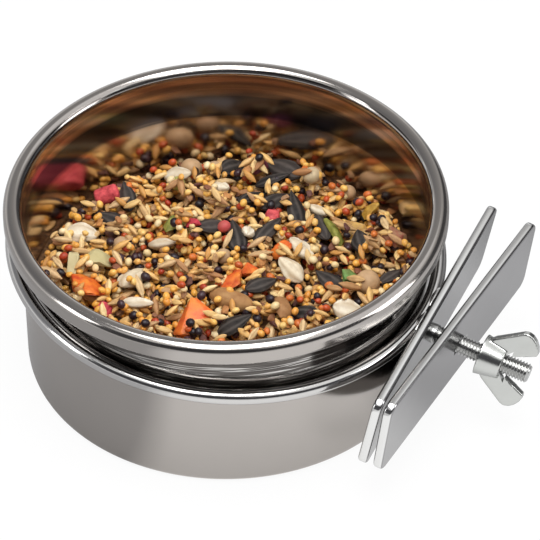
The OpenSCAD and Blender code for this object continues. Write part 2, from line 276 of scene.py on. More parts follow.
@dataclass(frozen=True)
class Steel:
    """Polished or satin metal with marks of polishing, smudges and a slightly wavy sheet; it can carry painted shade
    and reflections on the cup's wall, or a painted highlight on a jaw's ends and top line.
    """

    name: str
    colour: Colour
    roughness: float
    smudge: float = 0.06
    grain: Grain = Grain.NONE
    grain_depth: float = 0.002
    wave_depth: float = 0.02
    wave_scale: float = 40.0
    # Painted shade and painted reflections on the cup's wall
    wall: Optional[WallFilm] = None
    # Colour of the painted highlight on a jaw's ends and top line
    ends: Optional[Colour] = None

    SMEAR_SCALE, SMEAR_SHARE, SMEAR_TONE = 90.0, 0.35, 0.86
    FINE_SCALE, FINE_SHARE = 900.0, 0.1
    # Marks of polishing: how fine they are across, how drawn out along and round, and their contrast
    MARK_SCALE, MARK_DRAWN, MARK_TURN, MARK_ROUGH = 900, 25, 1.2, 0.7
    # How closely a face has to look along the jaw, or up, to take the painted highlight of its ends or of its top
    # line
    END_POWER, TOP_POWER, END_FROM, END_TO = 2.0, 14.0, 0.35, 0.7

    def material(self) -> bpy.types.Material:
        """Return the finish as a material."""
        material, graph = new_material(self.name)
        place = graph.place()
        smears = graph.noise(place, self.SMEAR_SCALE, 4.0, 0.6)
        height = (graph.noise(place, self.wave_scale, 1.0) * self.wave_depth
                  + graph.noise(place, self.FINE_SCALE, 2.0) * (self.grain_depth * self.FINE_SHARE))
        if self.grain is not Grain.NONE:
            height = height + self._marks(graph, place) * self.grain_depth
        smeared = tuple(part * self.SMEAR_TONE for part in self.colour)
        tone = graph.mix(smears * self.SMEAR_SHARE, self.colour, smeared)
        # Painted shade and painted reflections on the cup's wall
        if self.wall:
            tone = self.wall.over(graph, place, tone)
        # Painted highlight: faces that look along the jaw or straight up take a lighter colour
        if self.ends:
            _, across, up = graph.split(graph.place("Normal"))
            end = graph.step(across ** self.END_POWER + up ** self.TOP_POWER, self.END_FROM, self.END_TO)
            tone = graph.mix(end, tone, self.ends)
        graph.finish(graph.add("BsdfPrincipled", {}, {
            "Base Color": tone, "Metallic": 1.0,
            "Roughness": smears.between(self.roughness - self.smudge / 2, self.roughness + self.smudge),
            "Normal": graph.bump(height, 1.0, 1.0)}))
        return material

    def _marks(self, graph: Graph, place: Value) -> Value:
        """Return noise that is drawn out along the way the piece was polished.

        Args:
            graph: The steel's graph.
            place: Place on the piece.

        Returns:
            The noise, 0 to 1.
        """
        x, y, z = graph.split(place)
        if self.grain is Grain.ROUND:
            turn, reach = graph.polar(x, y)
            sockets = {0: turn * self.MARK_TURN, 1: reach * self.MARK_SCALE, 2: z * self.MARK_SCALE}
        else:
            sockets = {0: x * self.MARK_SCALE, 1: y * self.MARK_DRAWN, 2: z * self.MARK_SCALE}
        return graph.noise(graph.add("CombineXYZ", {}, sockets), 1.6, rough=self.MARK_ROUGH)


@dataclass(frozen=True)
class SeedCoat:
    """Coat of one kind of seed: a colour for each seed, stripes along it, mottling and a dry gloss."""

    name: str
    colours: tuple[Colour, ...]
    dark: Colour
    stripes: int = 0
    stripe_share: float = 0.0
    mottle: float = 0.25
    mottle_scale: float = 500.0
    roughness: float = 0.6
    bump_depth: float = 0.05
    coat: float = 0.0
    specular: float = 0.35

    COAT_ROUGHNESS, BUMP = 0.25, 0.7
    # Contrast of the spots, how the stripes waver, what each adds to the relief, and how the gloss varies
    SPOT_GAIN, SPOT_SHIFT, WAVER, STRIPE_RELIEF, SPOT_RELIEF = 2.6, 0.8, 2.5, 0.7, 0.3
    SMOOTHER, ROUGHER = 0.1, 0.12

    def material(self) -> bpy.types.Material:
        """Return the coat as a material; the mesh gives each seed's own place and number."""
        material, graph = new_material(self.name)
        marks = graph.add("Attribute", {"attribute_name": Mesh.MARKS}, output="Vector")
        along, turn, number = graph.split(marks)
        dark = screen(self.dark)
        tone = graph.ramp(number, [((index + 0.5) / len(self.colours), screen(tint))
                                   for index, tint in enumerate(self.colours)])
        height = spots = graph.noise(graph.place(), self.mottle_scale, 3.0, 0.6)
        tone = graph.mix((spots * self.SPOT_GAIN - self.SPOT_SHIFT) * self.mottle, tone, dark)
        if self.stripes:
            phase = turn * (math.tau * self.stripes) + spots * self.WAVER + along
            wave = graph.math("SINE", phase) * 0.5 + 0.5
            tone = graph.mix((wave ** 2.0) * self.stripe_share, tone, dark)
            height = wave * self.STRIPE_RELIEF + spots * self.SPOT_RELIEF
        gloss = spots.between(self.roughness - self.SMOOTHER, self.roughness + self.ROUGHER)
        sockets = {"Base Color": tone, "Roughness": gloss, "Specular IOR Level": self.specular,
                   "Normal": graph.bump(height, self.BUMP, self.bump_depth)}
        if self.coat:
            sockets.update({"Coat Weight": self.coat, "Coat Roughness": self.COAT_ROUGHNESS})
        graph.finish(graph.add("BsdfPrincipled", {}, sockets))
        return material


class Mesh:
    """Corners and faces of a piece while it is made, in millimetres."""

    MARKS = "seed_marks"

    def __init__(self) -> None:
        """Start with nothing."""
        self.points: list[np.ndarray] = []
        self.marks: list[np.ndarray] = []
        self.faces: Faces = []
        self.count = 0

    def add(self, points: np.ndarray, faces: Iterable[tuple[int, ...]],
            marks: Optional[np.ndarray] = None) -> "Mesh":
        """Add corners with the faces on them.

        Args:
            points: Corners, one row each.
            faces: Corners of each face, counted from the first of these points.
            marks: A row of three numbers for each corner, for the seeds' coats.

        Returns:
            The same mesh.
        """
        self.points.append(points)
        self.marks.append(np.zeros((len(points), 3)) if marks is None else marks)
        self.faces.extend(tuple(index + self.count for index in face) for face in faces)
        self.count += len(points)
        return self

    def make(self, name: str, material: bpy.types.Material, sharp: Optional[float] = None) -> bpy.types.Object:
        """Make the object.

        Args:
            name: Name of the object.
            material: Its finish.
            sharp: Angle in degrees from which an edge stays sharp; smooth all over without it.

        Returns:
            The new object, in metres.
        """
        data = bpy.data.meshes.new(name)
        data.from_pydata((np.concatenate(self.points) * MM).tolist(), [], self.faces)
        data.validate()
        layer = data.attributes.new(self.MARKS, "FLOAT_VECTOR", "POINT")
        layer.data.foreach_set("vector", np.concatenate(self.marks).astype(np.float32).ravel())
        data.polygons.foreach_set("use_smooth", [True] * len(data.polygons))
        if sharp is not None:
            data.set_sharp_from_angle(angle=math.radians(sharp))
        data.materials.append(material)
        data.update()
        return linked(name, data)


def linked(name: str, data: Optional[bpy.types.ID]) -> bpy.types.Object:
    """Make an object of some data and put it in the scene."""
    thing = bpy.data.objects.new(name, data)
    bpy.context.scene.collection.objects.link(thing)
    return thing


def grid_faces(rows: int, columns: int, close_rows: bool = False, close_columns: bool = True,
               flip: bool = False, capped: bool = False) -> Faces:
    """Return the faces of a grid of corners.

    Args:
        rows: Number of rows of corners.
        columns: Number of corners in a row.
        close_rows: Whether the last row joins the first.
        close_columns: Whether each row closes on itself.
        flip: Whether the faces look the other way.
        capped: Whether the first and the last row are faces too.

    Returns:
        The corners of each face.
    """
    faces = []
    for row in range(rows if close_rows else rows - 1):
        here, below = row * columns, (row + 1) % rows * columns
        for column in range(columns if close_columns else columns - 1):
            right = (column + 1) % columns
            face = (here + column, below + column, below + right, here + right)
            faces.append(face[::-1] if flip else face)
    if capped:
        faces += [tuple(range(columns))[::-1], tuple(range((rows - 1) * columns, rows * columns))]
    return faces


def spun(lengths: Sequence[Any], radii: Sequence[Any], sides: int, upright: bool = False) -> np.ndarray:
    """Return rings of corners round an axis.

    Args:
        lengths: Place of each ring along the axis, or a row for its corners.
        radii: Radius of each ring, or a row for its corners.
        sides: Corners in a ring.
        upright: Whether the axis is Z, and not X.

    Returns:
        The corners, one row each.
    """
    along, reach = (np.concatenate([np.broadcast_to(np.asarray(row, float), (1, sides)) for row in rows])
                    for rows in (lengths, radii))
    turns = np.linspace(0, math.tau, sides, endpoint=False)
    ring = [reach * np.cos(turns), reach * np.sin(turns)]
    return np.stack([*ring, along] if upright else [along, *ring], -1).reshape(-1, 3)


def arc(centre: Span, radius: float, start: float, end: float, steps: int) -> Line:
    """Return points along a part of a circle, with the angles in degrees."""
    turns = np.radians(np.linspace(start, end, steps + 1))
    return [(centre[0] + radius * math.cos(turn), centre[1] + radius * math.sin(turn)) for turn in turns]


def moved(x: float, y: float = 0.0, z: float = 0.0) -> Matrix:
    """Return a move."""
    return Matrix.Translation((x, y, z))


def turned(angle: float, axis: str) -> Matrix:
    """Return a turn by an angle in degrees."""
    return Matrix.Rotation(math.radians(angle), 4, axis)


def transformed(matrix: Matrix, points: np.ndarray) -> np.ndarray:
    """Move points by a matrix whose lengths are in millimetres."""
    table = np.array(matrix)
    return points @ table[:3, :3].T + table[:3, 3]


@dataclass
class Piece:
    """What every sub-assembly shares: it hands its objects to the frame and logs them."""

    def place(self, piece: bpy.types.Object, body: str, slot: str, *nodes: str) -> None:
        """Give a piece its body and hide the nodes that it stands for.

        Args:
            piece: The object.
            body: Body of the frame that carries it.
            slot: Material slot of the record; not used.
            nodes: Nodes that it replaces.
        """
        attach(piece, body)
        if nodes:
            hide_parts(*nodes)
        LOG.info("%s: %d faces on %s", piece.name, len(piece.data.polygons), body)


@dataclass
class Cup(Piece):
    """Drawn cup with a straight wall, a pressed ring in its base and a rolled rim."""

    rim_r: float = 55.0
    height: float = 49.0
    rim_out: float = 4.05
    sheet: float = 0.6
    base_r: float = 3.0
    roll_height: float = 5.6
    curl_r: float = 1.5
    ring_inset: float = 11.0
    ring_width: float = 4.0
    ring_height: float = 1.0
    ring_margin: float = 1.0
    sides: int = 288

    # Slope of the pressed ring: distance inwards from its edge, and share of its height
    SLOPE = ((-0.5, 0.12), (0.0, 0.5), (0.4, 0.88), (0.9, 1.0))
    MIDDLE_R = 0.02
    # Plain stretches of the wall above the bend, below the roll and on the lip
    OVER_BEND, UNDER_ROLL, LIP = 0.5, 0.3, 0.2
    BEND_STEPS, WALL_STEPS, SHARP = 10, 8, 60
    OUTER_STEPS, INNER_STEPS = (28, 16), (16, 10)

    @property
    def wall_r(self) -> float:
        """Outer radius of the wall."""
        return self.rim_r - self.rim_out

    @property
    def bore_r(self) -> float:
        """Inner radius of the wall."""
        return self.wall_r - self.sheet

    def _base(self, level: float, inner: float) -> Line:
        """Return the base from its middle to the bend, on one side of the sheet.

        Args:
            level: Height of that side.
            inner: How far it lies inside the outer surface.

        Returns:
            Radius and height of each point.
        """
        middle, half = self.wall_r - self.ring_inset, self.ring_width / 2
        edge = half + self.ring_margin
        line = [(self.MIDDLE_R, level), (middle / 2, level), (middle - edge, level)]
        for side, slope in ((-1, self.SLOPE), (1, self.SLOPE[::-1])):
            line += [(middle + side * (half - shift), level + self.ring_height * share) for shift, share in slope]
        bend = arc((self.wall_r - self.base_r, self.base_r), self.base_r - inner, -90, 0, self.BEND_STEPS)
        return line + [(middle + edge, level)] + bend

    def _section(self) -> Line:
        """Return the closed cross-section of the sheet, inside first."""
        roll_r = (self.rim_r - self.bore_r) / 2
        top = (self.bore_r + roll_r, self.height - roll_r)
        curl = (self.rim_r - self.curl_r, self.height - self.roll_height + self.curl_r)
        levels = np.linspace(self.base_r + self.OVER_BEND, top[1] - self.UNDER_ROLL, self.WALL_STEPS)
        inside = self._base(self.sheet, self.sheet) + [(self.bore_r, level) for level in levels]
        inside += arc(top, roll_r, 180, 0, self.OUTER_STEPS[0])
        inside += [(self.rim_r, top[1] - self.LIP), (self.rim_r, curl[1] + self.LIP)]
        inside += arc(curl, self.curl_r, 0, -180, self.OUTER_STEPS[1])
        outside = self._base(0.0, 0.0) + [(self.wall_r, level) for level in levels]
        outside += arc(top, roll_r - self.sheet, 180, 0, self.INNER_STEPS[0])
        outside += arc(curl, self.curl_r - self.sheet, 0, -180, self.INNER_STEPS[1])
        return inside + outside[::-1]

    def build(self, finish: Steel) -> None:
        """Make the cup and put it on its body.

        Args:
            finish: Finish of the shell.
        """
        radii, levels = zip(*self._section())
        mesh = Mesh().add(spun(levels, radii, self.sides, upright=True),
                          grid_faces(len(radii), self.sides, close_rows=True, flip=True))
        self.place(mesh.make("cup_shell", finish.material(), self.SHARP), "cup", "cup_steel", "cup")


@dataclass
class Holder(Piece):
    """Wire ring, the two jaws and the bolt between them."""

    cup: Cup = field(default_factory=Cup)
    wire_r: float = 1.85
    ring_gap: float = 0.4
    ring_height: float = 33.5
    ring_lean: float = 4.0
    jaw_length: float = 80.0
    jaw_width: float = 22.0
    jaw_sheet: float = 2.4
    jaw_corner: float = 3.0
    jaw_edge: float = 0.7
    jaw_tilt: float = 6.0
    bolt_drop: float = 6.0
    weld_depth: float = 0.6
    jaw_gap: float = 4.9
    jaw_splay: float = 5.8
    jaw_slack: float = 3.5
    fixed_play: float = 0.02
    loose_hole: float = 6.6
    hole_chamfer: float = 0.25
    hole_ease: float = 0.35
    bolt_r: float = 2.5
    bolt_length: float = 25.7
    shank_end: float = 0.3
    pitch: float = 0.8
    thread_start: float = 0.4
    thread_fade: float = 1.2
    thread_depth: float = 0.42
    head_r: float = 3.6
    head_height: float = 1.2
    tip_chamfer: float = 0.6
    tip_r: float = 1.4

    RING_ROWS, WIRE_SIDES = 256, 28
    BOLT_SIDES, ROWS_PER_TURN, MIDDLE_R = 48, 8, 0.05
    CORNER_STEPS, EDGE_STEPS, JAW_SHARP, BOLT_SHARP = 10, 6, 40, 50
    # Rings that keep a jaw's face flat, in from its eased edge and out from its hole
    FLAT_FAR, FLAT_NEAR, FLAT_HOLE = 2.0, 0.05, 0.9
    # Edge of the bolt's head at the back: distance from it, and in from the side; then the same at the front
    HEAD_BACK, HEAD_FRONT = ((0.0, 0.5), (0.15, 0.15), (0.4, 0.0)), ((-0.15, 0.0), (0.0, 0.1))
    # How wide the thread's root is, and how steep its flanks are
    THREAD_ROOT, THREAD_FLANK = 1.15, 2.6
    # Half sizes of a bead of weld, and its place from the middle of the joint
    BEAD, BEAD_IN, BEAD_SIDE, BEAD_LIFT = (1.1, 4.2, 0.95), 1.11, 4.6, 1.15
    BEAD_SIDES, BEAD_RINGS = 14, 10
    # Depth and number of a bead's ripples, along it and across it
    RIPPLE_ALONG, RIPPLE_ACROSS = (0.10, 19), (0.05, 13)

    @property
    def ring_r(self) -> float:
        """Radius of the ring at the middle of its wire."""
        return self.cup.wall_r + self.ring_gap + self.wire_r

    @property
    def on_ring(self) -> Matrix:
        """Frame of the ring."""
        return moved(0, 0, self.ring_height) @ turned(self.ring_lean, "Y")

    @property
    def on_bolt(self) -> Matrix:
        """Frame of the bolt: X along it, from the fixed jaw's outer face."""
        tilt = math.radians(self.jaw_tilt)
        face = (self.ring_r + self.wire_r - self.weld_depth
                + (self.jaw_sheet - self.bolt_drop * math.sin(tilt)) / math.cos(tilt))
        return self.on_ring @ moved(face, 0, -self.bolt_drop) @ turned(self.jaw_tilt, "Y")

    @property
    def on_loose_jaw(self) -> Matrix:
        """Frame of the loose jaw's outer face."""
        return (self.on_bolt @ moved(self.jaw_gap + self.jaw_sheet)
                @ turned(-self.jaw_splay, "Z") @ turned(-self.jaw_slack, "Y"))

    def build(self, wire: Steel, plate: Steel, bolt: Steel) -> None:
        """Make the ring, its welds, both jaws and the bolt.

        Args:
            wire: Finish of the ring and its welds.
            plate: Finish of the jaws.
            bolt: Finish of the bolt.
        """
        self._ring(wire)
        self._welds(wire)
        for name, body, node, frame, hole_r in (
                ("fixed_jaw_plate", "holder", "fixed_jaw", self.on_bolt, self.bolt_r + self.fixed_play),
                ("moving_jaw_plate", "loose_jaw", "moving_jaw", self.on_loose_jaw, self.loose_hole / 2)):
            jaw = self._plate(frame, hole_r).make(name, plate.material(), self.JAW_SHARP)
            self.place(jaw, body, "jaw_steel", node)
        self._bolt(bolt)

    def _ring(self, finish: Steel) -> None:
        """Make the wire ring.

        Args:
            finish: Its finish.
        """
        turns = np.linspace(0, math.tau, self.RING_ROWS, endpoint=False)[:, None]
        round_wire = np.linspace(0, math.tau, self.WIRE_SIDES, endpoint=False)
        reach = self.ring_r + self.wire_r * np.cos(round_wire)
        points = np.stack([reach * np.cos(turns), reach * np.sin(turns),
                           self.wire_r * np.sin(round_wire) + 0 * turns], -1).reshape(-1, 3)
        mesh = Mesh().add(transformed(self.on_ring, points),
                          grid_faces(self.RING_ROWS, self.WIRE_SIDES, close_rows=True))
        self.place(mesh.make("ring_wire", finish.material()), "holder", "holder_steel", "holder_ring")

    def _welds(self, finish: Steel) -> None:
        """Make the beads of weld between the wire and the fixed jaw, above and below it.

        Args:
            finish: Their finish.
        """
        mesh = Mesh()
        points, faces, _ = Seed.ball(self.BEAD_SIDES, self.BEAD_RINGS)
        (deep, often), (deep_across, often_across) = self.RIPPLE_ALONG, self.RIPPLE_ACROSS
        for side in (-1, 1):
            for lift in (-1, 1):
                rows = points * np.array(self.BEAD)
                ripple = (1 + deep * np.sin(points[:, 1] * often)
                          + deep_across * np.sin(points[:, 0] * often_across + lift))
                rows[:, ::2] *= ripple[:, None]
                rows += (self.ring_r + self.wire_r - self.BEAD_IN, side * self.BEAD_SIDE, lift * self.BEAD_LIFT)
                mesh.add(transformed(self.on_ring, rows), faces)
        self.place(mesh.make("weld_beads", finish.material()), "holder", "holder_steel")

    def _outline(self, inset: float) -> np.ndarray:
        """Return the outline of a jaw, inset all round, as points in Y and Z.

        Args:
            inset: Distance from the plate's outline inwards.

        Returns:
            The points, one row each.
        """
        radius = max(self.jaw_corner - inset, self.MIDDLE_R)
        y, z = self.jaw_length / 2 - self.jaw_corner, self.jaw_width / 2 - self.jaw_corner
        line: Line = []
        for turn, centre in ((0, (y, z)), (90, (-y, z)), (180, (-y, -z)), (270, (y, -z))):
            line += arc(centre, radius, turn, turn + 90, self.CORNER_STEPS)
        return np.array(line)

    def _plate(self, frame: Matrix, hole_r: float) -> Mesh:
        """Make a jaw plate: eased edges all round and a hole with a small chamfer.

        Args:
            frame: Frame of its outer face.
            hole_r: Radius of its hole.

        Returns:
            Its mesh.
        """
        edge, thick, chamfer = self.jaw_edge, self.jaw_sheet, self.hole_chamfer
        quarter = [(1 - math.cos(turn), 1 - math.sin(turn))
                   for turn in np.linspace(0, math.pi / 2, self.EDGE_STEPS + 1)]
        rims = [(0.0, edge + self.FLAT_FAR), (0.0, edge + self.FLAT_NEAR)]
        rims += [(edge * down, edge * inset) for down, inset in quarter]
        rims += [(thick - edge * up, edge * inset) for inset, up in quarter]
        rims += [(thick, edge + self.FLAT_NEAR), (thick, edge + self.FLAT_FAR)]
        turns = np.arctan2(*self._outline(0).T[::-1])
        circle = np.column_stack([np.cos(turns), np.sin(turns)])
        rows = [(0.0, circle * (hole_r + wider)) for wider in (self.FLAT_HOLE, self.FLAT_FAR)]
        rows += [(depth, self._outline(inset)) for depth, inset in rims]
        rows += [(depth, circle * (hole_r + wider)) for depth, wider in (
            (thick, self.FLAT_FAR), (thick, self.hole_ease), (thick, chamfer), (thick - chamfer, 0), (chamfer, 0),
            (0.0, chamfer))]
        points = np.concatenate([np.column_stack([np.full(len(line), -depth), line]) for depth, line in rows])
        return Mesh().add(transformed(frame, points), grid_faces(len(rows), len(circle), close_rows=True))

    def _bolt(self, finish: Steel) -> None:
        """Make the bolt: low head, shank in the fixed jaw and a rolled thread to a chamfered end.

        Args:
            finish: Its finish.
        """
        sides, start, end = self.BOLT_SIDES, self.thread_start, self.bolt_length
        lengths = np.linspace(start, end, int((end - start) / self.pitch * self.ROWS_PER_TURN))
        turns = np.linspace(0, math.tau, sides, endpoint=False)
        phase = (lengths[:, None] / self.pitch - turns / math.tau) % 1.0
        groove = np.clip(self.THREAD_ROOT - np.abs(phase - 0.5) * self.THREAD_FLANK, 0, 1) * self.thread_depth
        radius = self.bolt_r - groove * np.clip((lengths - start) / self.thread_fade, 0, 1)[:, None]
        radius = np.minimum(radius, self.bolt_r - self.tip_chamfer + np.clip(end - lengths, 0, 1)[:, None])
        front, back = -self.jaw_sheet, -self.jaw_sheet - self.head_height
        plain = [(back, self.MIDDLE_R)]
        for face, edge in ((back, self.HEAD_BACK), (front, self.HEAD_FRONT)):
            plain += [(face + shift, self.head_r - inset) for shift, inset in edge]
        plain += [(at, self.bolt_r) for at in (front, 0.0, self.shank_end)]
        points = spun([*(at for at, _ in plain), *lengths, end, end],
                      [*(reach for _, reach in plain), *radius, self.tip_r, self.MIDDLE_R], sides)
        mesh = Mesh().add(transformed(self.on_bolt, points), grid_faces(len(points) // sides, sides, capped=True))
        self.place(mesh.make("bolt_thread", finish.material(), self.BOLT_SHARP), "holder", "bolt_steel", "clamp_bolt")


@dataclass
class WingNut(Piece):
    """Cast wing nut: a tapered hub with two wings that flare outwards."""

    holder: Holder = field(default_factory=Holder)
    gap: float = 5.4
    base_r: float = 5.2
    end_r: float = 4.1
    hub: float = 6.0
    half_span: float = 10.75
    height: float = 13.5
    wing: float = 2.2
    wing_taper: float = 0.92
    turn: float = 165.0
    bore_r: float = 2.58
    voxel: float = 0.22

    # Outline of a wing, as shares of the height along the hub and of the half span out from it
    OUTLINE_SHARES = ((0.06, 0.10), (0.06, 0.34), (0.09, 0.46), (0.16, 0.56), (0.40, 0.77), (0.62, 0.965),
                      (0.70, 1.0), (0.80, 0.97), (0.89, 0.88), (0.96, 0.75), (0.995, 0.62), (0.985, 0.54),
                      (0.80, 0.43), (0.62, 0.32), (0.50, 0.27), (0.42, 0.10))
    # Cutter of the bore: distance from the hub's base, then from its end, and how much wider than the bore
    BASE_CUT, END_CUT = ((-2.0, 2.4), (0.5, 0.0)), ((-0.45, 0.0), (1.6, 2.2))
    HUB_SIDES, BORE_SIDES, SHARP = 64, 56, 50
    SMOOTHING, SMOOTH_ROUNDS = 0.5, 7

    def build(self, finish: Steel) -> None:
        """Make the nut: join hub and wings, round the joins as a casting has them, and bore it.

        Args:
            finish: Its finish.
        """
        piece = linked("nut_rough", self._rough())
        join = piece.modifiers.new("join", "REMESH")
        join.mode, join.voxel_size, join.use_smooth_shade = "VOXEL", self.voxel, True
        smooth = piece.modifiers.new("round", "SMOOTH")
        smooth.factor, smooth.iterations = self.SMOOTHING, self.SMOOTH_ROUNDS
        bore = self._bore()
        cut = piece.modifiers.new("bore", "BOOLEAN")
        cut.operation, cut.object, cut.solver = "DIFFERENCE", bore, "EXACT"
        shape = bpy.data.meshes.new_from_object(piece.evaluated_get(bpy.context.evaluated_depsgraph_get()))
        for spare in (piece, bore):
            bpy.data.objects.remove(spare)
        frame = (self.holder.on_bolt @ moved(self.holder.jaw_gap + self.holder.jaw_sheet + self.gap)
                 @ turned(self.turn, "X"))
        mesh = Mesh().add(transformed(frame, np.array([vertex.co[:] for vertex in shape.vertices])),
                          [tuple(polygon.vertices) for polygon in shape.polygons])
        bpy.data.meshes.remove(shape)
        self.place(mesh.make("wing_nut_cast", finish.material(), self.SHARP), "nut", "nut_zinc", "wing_nut")

    def _rough(self) -> bpy.types.Mesh:
        """Return the hub and both wings before they are joined."""
        rough = bmesh.new()
        cone = bmesh.ops.create_cone(rough, cap_ends=True, segments=self.HUB_SIDES, radius1=self.base_r,
                                     radius2=self.end_r, depth=self.hub)
        bmesh.ops.transform(rough, verts=cone["verts"], matrix=moved(self.hub / 2) @ turned(90, "Y"))
        for side in (1, -1):
            self._add_wing(rough, side)
        data = bpy.data.meshes.new("nut_rough")
        rough.to_mesh(data)
        rough.free()
        return data

    def _add_wing(self, rough: bmesh.types.BMesh, side: int) -> None:
        """Add one wing as a flat bar with the outline of a butterfly's wing.

        Args:
            rough: Mesh that it joins.
            side: Way that it points, 1 or -1.
        """
        front, back = (
            [rough.verts.new((along * self.height, across * self.wing / 2 * (1.0 if out < 0.5 else self.wing_taper),
                              side * out * self.half_span)) for along, out in self.OUTLINE_SHARES]
            for across in (-1, 1))
        rough.faces.new(front)
        rough.faces.new(back[::-1])
        for index in range(len(front)):
            before = index - 1
            rough.faces.new((front[index], front[before], back[before], back[index]))
        bmesh.ops.recalc_face_normals(rough, faces=rough.faces)

    def _bore(self) -> bpy.types.Object:
        """Return the cutter of the bore, with a chamfer at each end."""
        line = [(start + at, self.bore_r + wider) for start, cut in ((0.0, self.BASE_CUT), (self.hub, self.END_CUT))
                for at, wider in cut]
        data = bpy.data.meshes.new("nut_bore")
        data.from_pydata(spun(*zip(*line), self.BORE_SIDES).tolist(), [],
                         grid_faces(len(line), self.BORE_SIDES, capped=True))
        solid = bmesh.new()
        solid.from_mesh(data)
        bmesh.ops.recalc_face_normals(solid, faces=solid.faces)
        solid.to_mesh(data)
        solid.free()
        return linked("nut_bore", data)


# Corners, faces and marks of a seed
Shape = tuple[np.ndarray, Faces, np.ndarray]


class Seed:
    """Shapes of single seeds, each inside a box from -1 to 1, with X along the seed."""

    # Cut pieces: corners, how full and square they are, the rounding of their edges and their unevenness
    CUTS, FULL, SQUARE, ROUNDING, ROUND_STEPS, UNEVEN = 13, (0.8, 1.0), 0.7, 0.17, 3, 0.022

    @staticmethod
    def lathe(profile: Callable[[float], float], rings: int, sides: int,
              bend: Callable[[float, float], Span] = lambda along, turn: (1.0, 1.0)) -> Shape:
        """Return a seed from its half-width along its length.

        Args:
            profile: Half-width at a place along the seed, 0 to 1.
            rings: Rings of corners along it.
            sides: Corners round it.
            bend: Factors on the width and height at a place along it and a turn round it.

        Returns:
            Corners, faces and marks.
        """
        points, marks = [(-1.0, 0.0, 0.0)], [(0.0, 0.0, 0.0)]
        for ring in range(1, rings):
            along = (1 - math.cos(math.pi * ring / rings)) / 2
            for turn in (side / sides for side in range(sides)):
                wide, high = bend(along, turn)
                reach = profile(along)
                points.append((2 * along - 1, reach * wide * math.cos(math.tau * turn),
                               reach * high * math.sin(math.tau * turn)))
                marks.append((along, turn, 0.0))
        points.append((1.0, 0.0, 0.0))
        marks.append((1.0, 0.0, 0.0))
        last = len(points) - 1
        faces: Faces = []
        for side in range(sides):
            after = (side + 1) % sides
            faces += [(0, 1 + after, 1 + side), (last, last - sides + side, last - sides + after)]
            for low in range(1, last - sides, sides):
                high = low + sides
                faces.append((low + side, low + after, high + after, high + side))
        return np.array(points), faces, np.array(marks)

    @staticmethod
    def ball(sides: int = 10, rings: int = 7) -> Shape:
        """Return a round seed."""
        return Seed.lathe(lambda along: 2 * math.sqrt(along * (1 - along)), rings, sides)

    @staticmethod
    def pea() -> Shape:
        """Return a round seed that is large enough to need more corners."""
        return Seed.ball(20, 14)

    @staticmethod
    def spindle() -> Shape:
        """Return a long grain with a crease along one side."""
        return Seed.lathe(lambda along: math.sin(math.pi * along) ** 0.8, 8, 10,
                          lambda along, turn: (1.0, 0.72 if abs(turn - 0.75) < 0.04 else 1.0))

    @staticmethod
    def drop() -> Shape:
        """Return a flat seed, pointed at one end and blunt at the other, with a ridge along it."""
        return Seed.lathe(lambda along: math.sin(math.pi * along ** 0.72) ** 0.9, 14, 20,
                          lambda along, turn: (1.0, 1.0 - 0.25 * math.cos(math.tau * turn) ** 2))

    @staticmethod
    def ribbed() -> Shape:
        """Return a shelled kernel with shallow ribs and an uneven edge."""
        return Seed.lathe(
            lambda along: math.sin(math.pi * along ** 0.85) ** 0.6, 14, 28,
            lambda along, turn: (1.0 - 0.06 * math.cos(9 * along), 1.0 - 0.16 * math.cos(math.tau * 7 * turn)))

    @staticmethod
    def tablet() -> Shape:
        """Return a pressed pellet: a short rod with rounded, slightly broken ends."""
        return Seed.lathe(lambda along: min(1.0, (along * (1 - along) * 14) ** 0.35), 14, 20,
                          lambda along, turn: (1 + 0.03 * math.sin(23 * turn + 9 * along),) * 2)

    @staticmethod
    def husk() -> Shape:
        """Return a bent piece of shell, hollow below."""
        rows, columns, wall = 12, 10, 0.82
        count = rows * columns
        outer, inner = [], []
        for row in range(rows):
            along = row / (rows - 1)
            width = math.sin(math.pi * (0.12 + 0.76 * along)) * (1 + 0.12 * math.sin(9 * along))
            for column in range(columns):
                turn = math.pi * (0.05 + 0.9 * column / (columns - 1))
                for reach, store in ((1.0, outer), (wall, inner)):
                    store.append((2 * along - 1, reach * width * math.cos(turn),
                                  2 * reach * width * math.sin(turn) - 1 + 0.5 * math.sin(math.pi * along)))
        faces = grid_faces(rows, columns, close_columns=False)
        faces += [tuple(index + count for index in face[::-1]) for face in faces]
        edge = [*range(0, count - columns, columns), *range(count - columns, count - 1),
                *range(count - 1, columns - 1, -columns), *range(columns - 1, 0, -1)]
        faces += [(corner, after, after + count, corner + count) for corner, after in zip(edge, edge[1:] + edge[:1])]
        return Seed.plain(np.array(outer + inner), faces)

    @staticmethod
    def chunk(dice: random.Random) -> Shape:
        """Return an irregular cut piece with flat sides and rounded corners.

        Args:
            dice: Source of its shape.

        Returns:
            Corners, faces and marks.
        """
        solid = bmesh.new()
        for _ in range(Seed.CUTS):
            way = Vector([dice.gauss(0, 1) for _ in range(3)]).normalized()
            scale = dice.uniform(*Seed.FULL) / max(abs(part) for part in way) ** Seed.SQUARE
            solid.verts.new([max(-1.0, min(1.0, part * scale)) for part in way])
        result = bmesh.ops.convex_hull(solid, input=solid.verts)
        spare = {item for item in result["geom_unused"] + result["geom_interior"]
                 if isinstance(item, bmesh.types.BMVert)}
        bmesh.ops.delete(solid, geom=list(spare), context="VERTS")
        bmesh.ops.bevel(solid, geom=solid.edges[:] + solid.verts[:], offset=Seed.ROUNDING,
                        segments=Seed.ROUND_STEPS, profile=0.5, affect="EDGES", clamp_overlap=True)
        for vertex in solid.verts:
            vertex.co *= 1 + dice.gauss(0, Seed.UNEVEN)
        solid.verts.index_update()
        points = np.array([vertex.co[:] for vertex in solid.verts])
        faces = [tuple(vertex.index for vertex in face.verts) for face in solid.faces]
        solid.free()
        return Seed.plain(points / np.abs(points).max(axis=0), faces)

    @staticmethod
    def plain(points: np.ndarray, faces: Faces) -> Shape:
        """Return a seed whose marks only tell the place along it."""
        return points, faces, np.column_stack([points[:, 0] / 2 + 0.5, np.zeros((len(points), 2))])


